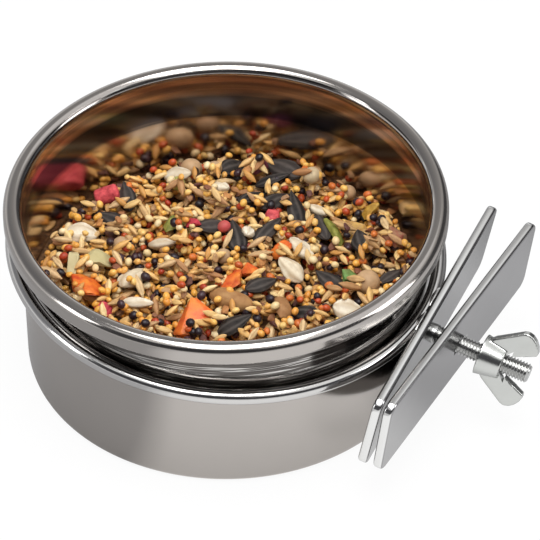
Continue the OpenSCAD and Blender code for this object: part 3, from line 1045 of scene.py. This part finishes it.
class Heap:
    """Height of the seeds over the cup's floor, on which each new seed comes to rest."""

    # Bare strip along the wall, steepest slope on which a seed lies, quantile of the heights below that carries
    # it, and share of a big seed that smaller ones keep off
    MARGIN, STEEPEST, CARRIED, COVERED = 0.8, 0.45, 0.8, 0.8

    def __init__(self, radius: float, level: Callable[[np.ndarray], np.ndarray], step: float = 0.3) -> None:
        """Start from the bed.

        Args:
            radius: Radius of the bed.
            level: Height of the bed at a distance from its middle.
            step: Distance between two points of the map.
        """
        self.radius = radius
        self.step = step
        self.axis = np.arange(-radius, radius + step, step)
        self.x, self.y = np.meshgrid(self.axis, self.axis, indexing="ij")
        self.z = level(np.hypot(self.x, self.y))
        self.big = np.zeros(self.z.shape, bool)

    def fits(self, x: float, y: float, half: float, turn: float) -> bool:
        """Tell whether a seed's two ends stay inside the wall."""
        ends = (half, -half)
        return all(math.hypot(x + math.cos(turn) * end, y + math.sin(turn) * end) < self.radius - self.MARGIN
                   for end in ends)

    def is_taken(self, x: float, y: float) -> bool:
        """Tell whether a big seed lies at a place."""
        return bool(self.big[int((x + self.radius) / self.step), int((y + self.radius) / self.step)])

    def settle(self, x: float, y: float, size: Sequence[float], turn: float, sink: float, rolls: float,
               is_big: bool = False) -> Matrix:
        """Lay a seed down and raise the map by it.

        Args:
            x: Place along X.
            y: Place along Y.
            size: Length, width and height of the seed.
            turn: Turn of its length about Z.
            sink: Share of its height by which it sinks in.
            rolls: Tilt that it keeps from falling, in radians.
            is_big: Whether smaller seeds keep off it.

        Returns:
            Frame of the seed's middle.
        """
        reach = size[0] / 2 + self.step
        part = tuple(slice(*np.searchsorted(self.axis, (middle - reach, middle + reach))) for middle in (x, y))
        dx, dy = self.x[part] - x, self.y[part] - y
        along = dx * math.cos(turn) + dy * math.sin(turn)
        across = dy * math.cos(turn) - dx * math.sin(turn)
        share = (2 * along / size[0]) ** 2 + (2 * across / size[1]) ** 2
        inside = share < 1
        if inside.sum() < 4:
            inside = share < 4
        heights = self.z[part][inside]
        table = np.column_stack([along[inside], across[inside], np.ones(inside.sum())])
        slope = np.linalg.lstsq(table, heights, rcond=None)[0]
        pitch, roll = (float(np.clip(value, -self.STEEPEST, self.STEEPEST)) for value in slope[:2])
        rest = heights - along[inside] * pitch - across[inside] * roll
        base = float(np.quantile(rest, self.CARRIED)) - sink * size[2]
        dome = np.sqrt(np.clip(1 - share, 0, 1))
        top = base + along * pitch + across * roll + size[2] * (0.5 + 0.5 * dome)
        self.z[part] = np.where(inside, np.maximum(self.z[part], top), self.z[part])
        if is_big:
            self.big[part] |= share < self.COVERED
        tilt = Matrix.Rotation(-math.atan(pitch), 4, "Y") @ Matrix.Rotation(math.atan(roll) + rolls, 4, "X")
        return moved(x, y, base + size[2] / 2) @ Matrix.Rotation(turn, 4, "Z") @ tilt


@dataclass(frozen=True)
class SeedKind:
    """Slot, node, coat, size and shape of one kind of seed.

    Attributes:
        piece: Name of the object.
        slot: Material slot of the record.
        coat: Finish.
        size: Length, width and height in millimetres.
        share: Share of the small seeds; none for the kinds that are placed one by one.
        node: Node that the kind stands for.
        shape: Shape that all its seeds have; cut pieces without it.
    """

    piece: str
    slot: str
    coat: SeedCoat
    size: Point = (2.0, 2.0, 2.0)
    share: float = 0.0
    node: Optional[str] = None
    shape: Optional[Callable[[], Shape]] = None


# Coats that several kinds share: the waxy flesh of dried fruit, and the glossy husk of millet
waxy = partial(SeedCoat, mottle=1.0, roughness=0.5, coat=0.15)
glossy = partial(SeedCoat, mottle=0.4, mottle_scale=1100, roughness=0.4, bump_depth=0.03, coat=0.2)


class Kind(Enum):
    """Kinds of seed in the mix."""

    SUNFLOWER = SeedKind("sunflower_husks", "sunflower_husk", SeedCoat("sunflower_husk", ((24, 21, 20),
        (36, 32, 31), (20, 19, 20), (48, 42, 40)), (104, 96, 90), stripes=8, stripe_share=0.42, roughness=0.65,
        bump_depth=0.16, specular=0.2), node="sunflower_seeds", shape=Seed.drop)
    KERNEL = SeedKind("shelled_kernels", "pale_kernel", SeedCoat("kernel_skin", ((224, 212, 186), (232, 224, 204),
        (214, 198, 168)), (176, 146, 104), stripes=5, stripe_share=0.4, mottle=0.45, roughness=0.55,
        bump_depth=0.12, specular=0.25), node="pale_kernels", shape=Seed.ribbed)
    ORANGE = SeedKind("fruit_orange", "fruit", waxy("fruit_orange", ((232, 136, 44), (228, 104, 36)), (186, 40, 20),
        mottle_scale=330, bump_depth=0.5), node="dried_fruit")
    RED = SeedKind("fruit_red", "fruit", waxy("fruit_red", ((198, 56, 34), (214, 84, 40), (196, 62, 40)),
        (232, 132, 52), mottle_scale=360, bump_depth=0.5))
    PINK = SeedKind("fruit_pink", "fruit", SeedCoat("fruit_pink", ((214, 74, 88), (224, 96, 96)), (150, 36, 50),
        mottle=0.9, bump_depth=0.3))
    AMBER = SeedKind("fruit_amber", "fruit", waxy("fruit_amber", ((200, 156, 62), (216, 176, 78), (206, 166, 70)),
        (140, 92, 30), mottle_scale=380, bump_depth=0.4))
    GREEN = SeedKind("fruit_green", "fruit", SeedCoat("fruit_green", ((150, 150, 66), (168, 168, 84),
        (112, 150, 84)), (94, 98, 40), mottle=0.9, mottle_scale=420, roughness=0.55, bump_depth=0.4))
    PALE = SeedKind("fruit_pale", "fruit", SeedCoat("fruit_pale", ((206, 196, 150), (214, 200, 160)),
        (170, 156, 106), stripes=7, stripe_share=0.5, mottle=0.4, bump_depth=0.12))
    BROWN = SeedKind("fruit_brown", "fruit", SeedCoat("fruit_brown", ((112, 78, 66), (130, 98, 84)), (70, 44, 40),
        mottle=0.5, bump_depth=0.15))
    SHELL = SeedKind("nut_shells", "fruit", SeedCoat("nut_shell", ((206, 164, 108), (190, 146, 98)), (132, 86, 48),
        stripes=6, stripe_share=0.5, mottle=0.8, mottle_scale=420, roughness=0.7, bump_depth=0.4), shape=Seed.husk)
    PELLET = SeedKind("pellets_pressed", "pellet", SeedCoat("pellet_crust", ((222, 92, 96), (160, 128, 96),
        (142, 98, 116)), (140, 34, 44), mottle=0.8, mottle_scale=800, roughness=0.7, bump_depth=0.4, specular=0.25),
        node="pellets", shape=Seed.tablet)
    PEA = SeedKind("round_peas", "pea", SeedCoat("pea_skin", ((196, 160, 120), (206, 186, 150), (160, 160, 86),
        (190, 70, 76), (190, 158, 122)), (130, 100, 70), mottle=0.4, roughness=0.55, bump_depth=0.12), node="peas",
        shape=Seed.pea)
    MILLET = SeedKind("millet_golden", "grain", glossy("millet_gold", ((236, 176, 76), (244, 196, 104),
        (222, 148, 56), (242, 206, 126)), (186, 108, 34), mottle=0.35, roughness=0.38), size=(2.0, 1.7, 1.5),
        share=0.32, node="small_grains", shape=Seed.ball)
    CREAM = SeedKind("millet_cream", "grain", glossy("millet_cream", ((240, 220, 176), (232, 206, 152)),
        (200, 160, 100), mottle=0.3), size=(2.2, 1.9, 1.7), share=0.07, shape=Seed.ball)
    RUST = SeedKind("millet_red", "grain", glossy("millet_rust", ((204, 90, 38), (172, 56, 30), (222, 124, 54)),
        (110, 34, 20)), size=(2.2, 1.8, 1.7), share=0.09, shape=Seed.ball)
    DARK = SeedKind("dark_seeds", "grain", glossy("dark_skin", ((40, 26, 34), (28, 22, 26), (66, 40, 46)),
        (16, 12, 16), coat=0.15), size=(2.4, 2.1, 1.9), share=0.11, shape=Seed.ball)
    LONG = SeedKind("canary_seeds", "grain", SeedCoat("canary_husk", ((240, 202, 134), (232, 180, 104),
        (244, 218, 160), (210, 152, 80)), (160, 116, 66), stripes=4, stripe_share=0.35, mottle=0.3,
        mottle_scale=800, roughness=0.5), size=(4.6, 1.7, 1.4), share=0.24, shape=Seed.spindle)
    OAT = SeedKind("hulled_oats", "grain", SeedCoat("oat_husk", ((216, 178, 122), (176, 124, 80), (228, 198, 148)),
        (130, 84, 46), stripes=5, stripe_share=0.4, mottle=0.35, mottle_scale=700, bump_depth=0.07),
        size=(6.2, 2.0, 1.5), share=0.08, shape=Seed.spindle)
    CHIP = SeedKind("cracked_grain", "grain", SeedCoat("grain_chip", ((206, 144, 84), (128, 78, 56),
        (218, 176, 120), (96, 60, 56)), (92, 52, 36), mottle=0.5, mottle_scale=700, bump_depth=0.08),
        size=(2.6, 1.9, 1.3), share=0.12)


# Big seeds, one by one: place, turn in degrees, length, width, height and number of the colour
BIG_SEEDS: tuple[tuple[Kind, tuple[tuple[float, ...], ...]], ...] = (
    (Kind.SUNFLOWER, ((-10, 15.6, 44, 11, 6.5, 3.6, 0.9), (-3, 12.4, 123, 12, 5.5, 3.2, 0.6),
        (3.5, 18.2, 78, 12, 5.5, 3.4, 0.4), (10.1, -1.3, 54, 9.5, 5.5, 3.2, 0.4), (24, 9.8, 160, 10, 6.5, 3.6, 0.4),
        (-3.6, 44, 163, 12.5, 7.5, 4, 0.9), (-5.7, 29.6, 67, 10.5, 5, 3.2, 0.1), (0.4, 31.1, 63, 11.5, 5, 3.2, 0.4),
        (-3.6, 37.8, 36, 10, 4.5, 3, 0.6), (5.8, 30.7, 126, 12, 5.5, 3.4, 0.6), (-36.5, 18.4, 126, 9, 5, 3, 0.4),
        (-36.9, 10.2, 179, 9, 6, 3.2, 0.6), (-16, 40.7, 61, 9.5, 5.5, 3, 0.1), (9.7, -17.1, 40, 10, 6, 3.2, 0.1),
        (13.9, 28.7, 127, 11, 5.5, 3.2, 0.9), (25.8, 25.1, 120, 9, 5, 3.2, 0.1), (22.3, -4, 179, 9, 5.5, 3.2, 0.1),
        (37.7, 17.5, 69, 10, 5, 3.2, 0.9))),
    (Kind.KERNEL, ((-41.2, 1.7, 7, 8.5, 6.5, 2.8, 0.5), (-20.6, 5.7, 1, 8.5, 4.2, 2.6, 0.6),
        (-21.5, -10.2, 85, 9.5, 7, 3, 0.2), (-15.9, -18.8, 15, 8, 4, 2.4, 0.5), (-27.4, 30.1, 6, 8, 5, 3, 0.6),
        (-16.4, 30.4, 166, 8.5, 4.5, 2.8, 0.5), (-0.5, 14.7, 106, 6, 3.5, 2.4, 0.5), (13.1, 17, 151, 9, 5, 3, 0.6),
        (14.6, 6.6, 161, 8.5, 5, 2.6, 0.3), (32.9, 0.7, 15, 8.5, 6, 3, 0.5),
        (10.4, 33.6, 179, 6.5, 3.5, 2.4, 0.4))),
    (Kind.ORANGE, ((-30.4, -18.9, 165, 11.5, 8, 4.5, 0.3),)),
    (Kind.RED, ((-1.5, -19.2, 72, 11.5, 9, 5, 0.5),)),
    (Kind.PALE, ((-31.6, -8.7, 88, 8.5, 7, 3, 0.3),)),
    (Kind.GREEN, ((-20.7, 11.9, 15, 7, 5.5, 3.4, 0.5),)),
    (Kind.RED, ((8.6, 14.5, 48, 6, 4.5, 3.2, 0.2), (5, 3.9, 179, 6, 4, 2.8, 0.2),
        (3.1, -3.8, 65, 8, 4.5, 2.6, 0.8))),
    (Kind.GREEN, ((18.7, 26.5, 136, 11, 4, 3.2, 0.3),)),
    (Kind.AMBER, ((22.1, 31, 2, 8.5, 6, 3.4, 0.2), (23.6, 37.5, 54, 6, 4.5, 3.4, 0.5))),
    (Kind.GREEN, ((28.9, 11.9, 40, 6, 5, 3, 0.9),)),
    (Kind.SHELL, ((5.2, -9.1, 3, 11.5, 5.5, 2.6, 0.2), (17.9, -6.2, 125, 8, 5.5, 2.6, 0.8))),
    (Kind.PALE, ((-37.2, -12.7, 101, 8, 3.5, 2.4, 0.8),)),
    (Kind.PINK, ((-23.3, -23.3, 149, 5, 4, 3, 0.3), (1.2, 24.7, 48, 5, 4, 3, 0.8),
        (-14.8, 11.3, 74, 4.5, 3.5, 2.6, 0.3))),
    (Kind.BROWN, ((-34.5, 5.2, 162, 5.5, 4.5, 3.2, 0.3),)),
    (Kind.PELLET, ((-41.5, 16.9, 34, 6.6, 4.6, 4.6, 0.15), (33.7, 29.2, 160, 5.5, 5, 5, 0.5),
        (-8.5, 39.7, 48, 4.6, 3.4, 3.4, 0.85))),
    (Kind.PEA, ((-25.9, 35.5, 23, 5.8, 5.8, 5.4, 0.1), (-19.6, 36.1, 23, 4.2, 4.2, 4, 0.9),
        (33.7, 10.8, 23, 6.4, 6.4, 6, 0.1), (6.3, 39.9, 23, 4.7, 4.7, 4.5, 0.3),
        (-25.1, 25.3, 23, 3.8, 3.8, 3.6, 0.5), (29.6, 25.7, 23, 3.8, 3.8, 3.6, 0.1),
        (14.8, 44.3, 23, 4.2, 4.2, 4, 0.1), (-6.4, 12.8, 23, 3.4, 3.4, 3.2, 0.7), (-29.4, -0.2, 23, 4, 4, 3.8, 0.9),
        (-3.5, 5.7, 23, 4.2, 4.2, 4, 0.9))),
)


@dataclass
class SeedMix(Piece):
    """The seeds in the cup: big ones in their places, and small ones that fill round them."""

    bore_r: float = 50.35
    gap: float = 0.3
    fill: float = 20.5
    mound: float = 2.0
    base_level: float = 2.4
    start: float = -3.6
    core_gap: float = 0.12
    lump: float = 0.25
    under_count: int = 3000
    over_count: int = 1500
    margin: float = 1.2
    seed: int = 7

    CHUNKS, SHARP = 6, 50
    BIG_SINK, BIG_ROLL = 0.22, 0.15
    SMALL_SINK, SMALL_ROLL, SMALL_GROWTH = 0.15, 0.3, 0.15
    CORE_RINGS, CORE_SIDES, MIDDLE_R = 60, 120, 0.05
    # Lumps of the heap: how close they lie outwards, how far they shift, and how many are round it
    LUMP_REACH, LUMP_SHIFT, LUMP_TURN = 2.9, 3, 7

    def _level(self, reach: np.ndarray) -> np.ndarray:
        """Return the height at which the seeds start, at a distance from the middle."""
        radius = self.bore_r - self.gap
        return self.fill + self.start + self.mound * (1 + np.cos(math.pi * np.minimum(reach / radius, 1))) / 2

    def build(self, bed: SeedCoat) -> None:
        """Lay the seeds down and make one object of each kind.

        Args:
            bed: Coat of the heap under them.
        """
        self.dice = random.Random(self.seed)
        self.heap = Heap(self.bore_r - self.gap, self._level)
        self.meshes = {kind: Mesh() for kind in Kind}
        chunks = {kind: [Seed.chunk(self.dice) for _ in range(self.CHUNKS)] for kind in Kind}
        self.shapes = {kind: [kind.value.shape()] if kind.value.shape else chunks[kind] for kind in Kind}
        self._scatter(self.under_count, avoid=False)
        for kind, rows in BIG_SEEDS:
            for x, y, turn, *size, number in rows:
                roll = self.dice.uniform(-self.BIG_ROLL, self.BIG_ROLL)
                frame = self.heap.settle(x, y, size, math.radians(turn), self.BIG_SINK, roll, True)
                self._add(kind, frame, size, number)
        self._scatter(self.over_count, avoid=True)
        for kind, mesh in self.meshes.items():
            spec = kind.value
            nodes = (spec.node,) if spec.node else ()
            self.place(mesh.make(spec.piece, spec.coat.material(), self.SHARP), "cup", spec.slot, *nodes)
        self._core(bed)

    def _core(self, finish: SeedCoat) -> None:
        """Make the heap under the loose seeds: lumpy above, and closed below.

        Args:
            finish: Its coat.
        """
        reach = np.linspace(self.MIDDLE_R, self.bore_r - self.core_gap, self.CORE_RINGS)[:, None]
        turns = np.linspace(0, math.tau, self.CORE_SIDES, endpoint=False)
        lumps = np.sin(reach * self.LUMP_REACH + self.LUMP_SHIFT * np.sin(turns * self.LUMP_TURN))
        level = self._level(reach) + self.lump * lumps
        points = spun([self.base_level, *level, self.base_level], [self.MIDDLE_R, *reach, reach[-1]],
                      self.CORE_SIDES, upright=True)
        mesh = Mesh().add(points, grid_faces(self.CORE_RINGS + 2, self.CORE_SIDES, close_rows=True))
        self.place(mesh.make("seed_heap_core", finish.material()), "cup", "seed_mix", "seed_bed")

    def _scatter(self, count: int, avoid: bool) -> None:
        """Drop small seeds at random places.

        Args:
            count: How many are dropped.
            avoid: Whether they keep off the big seeds.
        """
        dice, small = self.dice, [kind for kind in Kind if kind.value.share]
        shares = [kind.value.share for kind in small]
        for _ in range(count):
            kind = dice.choices(small, shares)[0]
            grow = dice.uniform(1 - self.SMALL_GROWTH, 1 + self.SMALL_GROWTH)
            size = [part * grow for part in kind.value.size]
            reach = (self.heap.radius - self.margin) * math.sqrt(dice.random())
            way = dice.uniform(0, math.tau)
            x, y, turn = reach * math.cos(way), reach * math.sin(way), dice.uniform(0, math.pi)
            if not self.heap.fits(x, y, size[0] / 2, turn) or (avoid and self.heap.is_taken(x, y)):
                continue
            rolls = dice.uniform(-self.SMALL_ROLL, self.SMALL_ROLL)
            self._add(kind, self.heap.settle(x, y, size, turn, self.SMALL_SINK, rolls), size, dice.random())

    def _add(self, kind: Kind, frame: Matrix, size: Sequence[float], number: float) -> None:
        """Add one seed to its kind's mesh.

        Args:
            kind: Its kind.
            frame: Frame of its middle.
            size: Its length, width and height.
            number: Number that picks its colour, 0 to 1.
        """
        points, faces, marks = self.dice.choice(self.shapes[kind])
        marks = marks.copy()
        marks[:, 2] = number
        self.meshes[kind].add(transformed(frame, points * (np.array(size) / 2)), faces, marks)


@dataclass
class Studio:
    """Pale floor, soft light from above and the camera at the photograph's angle."""

    azimuth: float = 23.3
    elevation: float = 42.04
    lens: float = 215.6
    camera_at: Point = (0.2486, -0.5499, 0.5687)
    floor_half: float = 4.0
    floor_colour: Colour = (0.86, 0.86, 0.86)
    floor_glow: float = 0.75
    paper_glow: float = 0.18
    daylight: float = 0.5
    # Tones of the room from the horizon, 0, to straight above, 1
    front_tones: Stops = ((0.0, 0.9), (0.10, 0.75), (0.17, (0.06, 0.06, 0.065)), (0.72, (0.05, 0.05, 0.055)),
                          (0.80, 0.9), (0.97, 1.0), (1.0, 0.5))
    left_tones: Stops = ((0.0, 0.9), (0.20, 0.7), (0.40, (0.26, 0.26, 0.27)), (0.75, (0.22, 0.22, 0.23)), (1.0, 0.34))
    right_tones: Stops = ((0.0, 1.0), (0.25, 0.95), (0.42, (0.62, 0.61, 0.60)), (0.75, (0.45, 0.44, 0.43)),
                          (1.0, 0.34))
    corner_tone: Colour = (0.03, 0.03, 0.035)
    panel_tone: Colour = (0.98, 0.98, 0.98)
    # Painted light and shade of the table round the cup, which metal reflects, from behind it by the left, the front
    # and the right
    table_tones: Stops = ((0.0, (0.42, 0.42, 0.43)), (0.25, (0.27, 0.27, 0.28)), (0.415, (0.26, 0.26, 0.27)),
                          (0.447, 0.86), (0.475, 0.91), (0.64, 0.97), (0.68, (0.60, 0.60, 0.61)),
                          (0.79, (0.50, 0.50, 0.51)), (0.825, (0.10, 0.10, 0.105)), (0.92, (0.14, 0.14, 0.145)),
                          (1.0, (0.42, 0.42, 0.43)))
    # Painted shadow at the cup's foot: its tone, and the share of the table's tone kept there
    foot_tone: Colour = (0.30, 0.29, 0.28)
    foot_light: float = 0.74
    corner_depth: float = 0.94
    # How the left of the room turns into the right one, and the way to its dark corner, in parts of the
    # directions to the right and ahead
    left_to_right: Span = (0.8, 0.5)
    to_corner: Span = (0.87, -0.5)
    # Where each part of the room fades in or out
    foot_edge: Span = (0.048, 0.085)
    front_edge: Span = (0.0, 0.25)
    corner_edge: Span = (0.70, 0.86)
    corner_top: Span = (0.42, 0.60)
    panel_side: Span = (0.16, 0.34)
    panel_base: Span = (0.60, 0.67)

    SENSOR, CLIP = 36.0, (0.01, 20.0)
    # Name, place and aim in metres, width and depth in metres, and power in watts of each lamp
    LAMPS = (("top_light", (0.085, -0.12, 1.08), (0.0, 0.0, 0.0), 0.7, 0.9, 11.9),
             ("right_light", (1.1, 0.35, 0.55), (0.0, 0.0, 0.03), 0.5, 0.7, 5.0),
             ("left_light", (-0.9, -0.7, 0.6), (0.0, 0.0, 0.03), 0.35, 0.6, 3.0))

    def build(self) -> None:
        """Make the camera, the floor, the world and the lamps."""
        self._camera()
        self._floor()
        self._world()
        for lamp in self.LAMPS:
            self._lamp(*lamp)

    def _camera(self) -> None:
        """Make the camera."""
        data = bpy.data.cameras.new("camera")
        data.lens, data.sensor_width = self.lens, self.SENSOR
        data.clip_start, data.clip_end = self.CLIP
        camera = linked("camera", data)
        camera.location = self.camera_at
        camera.rotation_euler = (math.radians(90 - self.elevation), 0.0, math.radians(self.azimuth))
        bpy.context.scene.camera = camera

    def _floor(self) -> None:
        """Make the floor, which keeps a light shadow."""
        size = self.floor_half / MM
        mesh = Mesh().add(np.array([(-size, -size, 0), (size, -size, 0), (size, size, 0), (-size, size, 0)]),
                          [(0, 1, 2, 3)])
        material, graph = new_material("floor_paper")
        camera, seen = graph.rays()
        paper = graph.add("BsdfDiffuse", {}, {"Color": self.floor_colour})
        # Camera rays see plain white; reflections see the painted light and shade round the cup
        sheet = graph.mix(camera, self._round_the_cup(graph), (1.0, 1.0, 1.0))
        glow = graph.add("Emission", {}, {"Color": sheet, "Strength": 1.0})
        share = seen * self.floor_glow + camera * self.paper_glow
        graph.finish(graph.add("MixShader", {}, {0: share, 1: paper, 2: glow}))
        mesh.make("floor", material)

    def _plan(self, graph: Graph, place: Value) -> tuple[Value, Value, Value]:
        """Return how far a place lies to the camera's right, towards it, and up.

        Args:
            graph: The graph that the place belongs to.
            place: The place or direction.

        Returns:
            The three distances.
        """
        x, y, up = graph.split(place)
        side, front = math.radians(self.azimuth), math.radians(self.azimuth - 90)
        return x * math.cos(side) + y * math.sin(side), x * math.cos(front) + y * math.sin(front), up

    def _round_the_cup(self, graph: Graph) -> Value:
        """Return the painted light and shade of the table round the cup, which metal reflects.

        Args:
            graph: The floor's graph.

        Returns:
            The tone, with a painted shadow at the cup's foot.
        """
        right, ahead, _ = self._plan(graph, graph.place())
        turn, reach = graph.polar(ahead, right)
        # Painted shadow at the cup's foot
        away = graph.step(reach, *self.foot_edge, self.foot_light, 1.0)
        return graph.mix(away, self.foot_tone, graph.ramp(turn * (1 / math.tau) + 0.5, self.table_tones))

    def _world(self) -> None:
        """Make the room: white round the horizon, grey overhead between the lamps."""
        world = bpy.data.worlds.new("room")
        bpy.context.scene.world = world
        world.use_nodes = True
        graph = Graph(world.node_tree)
        right, ahead, up = self._plan(graph, graph.place("Generated"))
        gain, middle = self.left_to_right
        room = graph.mix(right * gain + middle, graph.ramp(up, self.left_tones), graph.ramp(up, self.right_tones))
        along, across = self.to_corner
        corner = (graph.step(right * along + ahead * across, *self.corner_edge)
                  * graph.step(up, *self.corner_top, self.corner_depth, 0.0))
        room = graph.mix(corner, room, self.corner_tone)
        room = graph.mix(graph.step(ahead, *self.front_edge), room, graph.ramp(up, self.front_tones))
        panel = graph.step(right, *self.panel_side) * graph.step(up, *self.panel_base)
        room = graph.mix(panel, room, self.panel_tone)
        soft, glow = (graph.add("Background", {}, {"Color": colour, "Strength": strength})
                      for colour, strength in (((1.0, 1.0, 1.0), self.daylight), (room, 1.0)))
        graph.finish(graph.add("MixShader", {}, {0: graph.rays()[1], 1: soft, 2: glow}), "World")

    @staticmethod
    def _lamp(name: str, at: Point, aim: Point, width: float, depth: float, power: float) -> None:
        """Make a soft lamp.

        Args:
            name: Its name.
            at: Its place in metres.
            aim: The point that it looks at.
            width: Width of its face.
            depth: Depth of its face.
            power: Power in watts.
        """
        data = bpy.data.lights.new(name, "AREA")
        data.shape, data.size, data.size_y, data.energy = "RECTANGLE", width, depth, power
        lamp = linked(name, data)
        lamp.location = at
        lamp.rotation_euler = (Vector(at) - Vector(aim)).to_track_quat("Z", "Y").to_euler()


# Painted shade and painted reflections of the seeds on the inner wall, as tones from the cup's floor, 0, to the top
# of the rim, 1
INNER_WALL: Stops = (
    (0.0, (0.70, 0.63, 0.57)), (0.60, (0.68, 0.61, 0.55)), (0.665, (0.54, 0.43, 0.36)), (0.70, (0.09, 0.085, 0.105)),
    (0.83, (0.08, 0.078, 0.10)), (0.865, (0.56, 0.38, 0.34)), (0.90, (0.30, 0.22, 0.22)), (0.93, (0.66, 0.40, 0.34)),
    (0.955, (0.18, 0.15, 0.16)), (0.965, (0.46, 0.43, 0.41)), (1.0, (0.50, 0.468, 0.44)))
# Painted shade and streaks of painted reflection on the wall between the rim and the ring
CREVICE: Stops = (
    (0.0, (0.10, 0.092, 0.085)), (0.36, (0.10, 0.092, 0.085)), (0.40, (0.7, 0.68, 0.66)), (0.44, (0.14, 0.13, 0.12)),
    (0.55, (0.10, 0.09, 0.085)), (0.60, (0.75, 0.73, 0.70)), (0.65, (0.16, 0.15, 0.14)), (1.0, (0.12, 0.11, 0.10)))


def main() -> None:
    """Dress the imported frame."""
    logging.basicConfig(level=logging.INFO, format="%(message)s")
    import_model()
    bpy.context.scene.view_settings.view_transform = "Standard"
    Studio().build()
    cup = Cup()
    holder = Holder(cup=cup)
    # Painted shade and painted reflections on the cup's wall, inside and between the rim and the ring
    film = WallFilm(INNER_WALL, CREVICE, cup.bore_r, cup.wall_r, cup.height, holder.ring_height, holder.ring_lean)
    cup.build(Steel("cup_steel", (0.49, 0.459, 0.432), 0.13, grain=Grain.ROUND, grain_depth=0.0002, wave_depth=0.015,
                    wall=film))
    holder.build(Steel("holder_steel", (0.66, 0.65, 0.64), 0.12, wave_depth=0.01),
                 # The jaws' ends and top line take a painted highlight
                 Steel("jaw_steel", (0.33, 0.327, 0.33), 0.16, grain=Grain.ALONG, ends=(0.80, 0.80, 0.79)),
                 Steel("bolt_steel", (0.58, 0.58, 0.57), 0.2, wave_depth=0.0))
    WingNut(holder=holder).build(Steel("nut_zinc", (0.60, 0.61, 0.59), 0.2, smudge=0.1, wave_depth=0.06,
                                       wave_scale=260))
    SeedMix(bore_r=cup.bore_r).build(SeedCoat("seed_dust", ((120, 84, 50),), (40, 24, 16), mottle=0.9,
                                              mottle_scale=900, roughness=0.8, bump_depth=0.3))


if __name__ == "__main__":
    main()
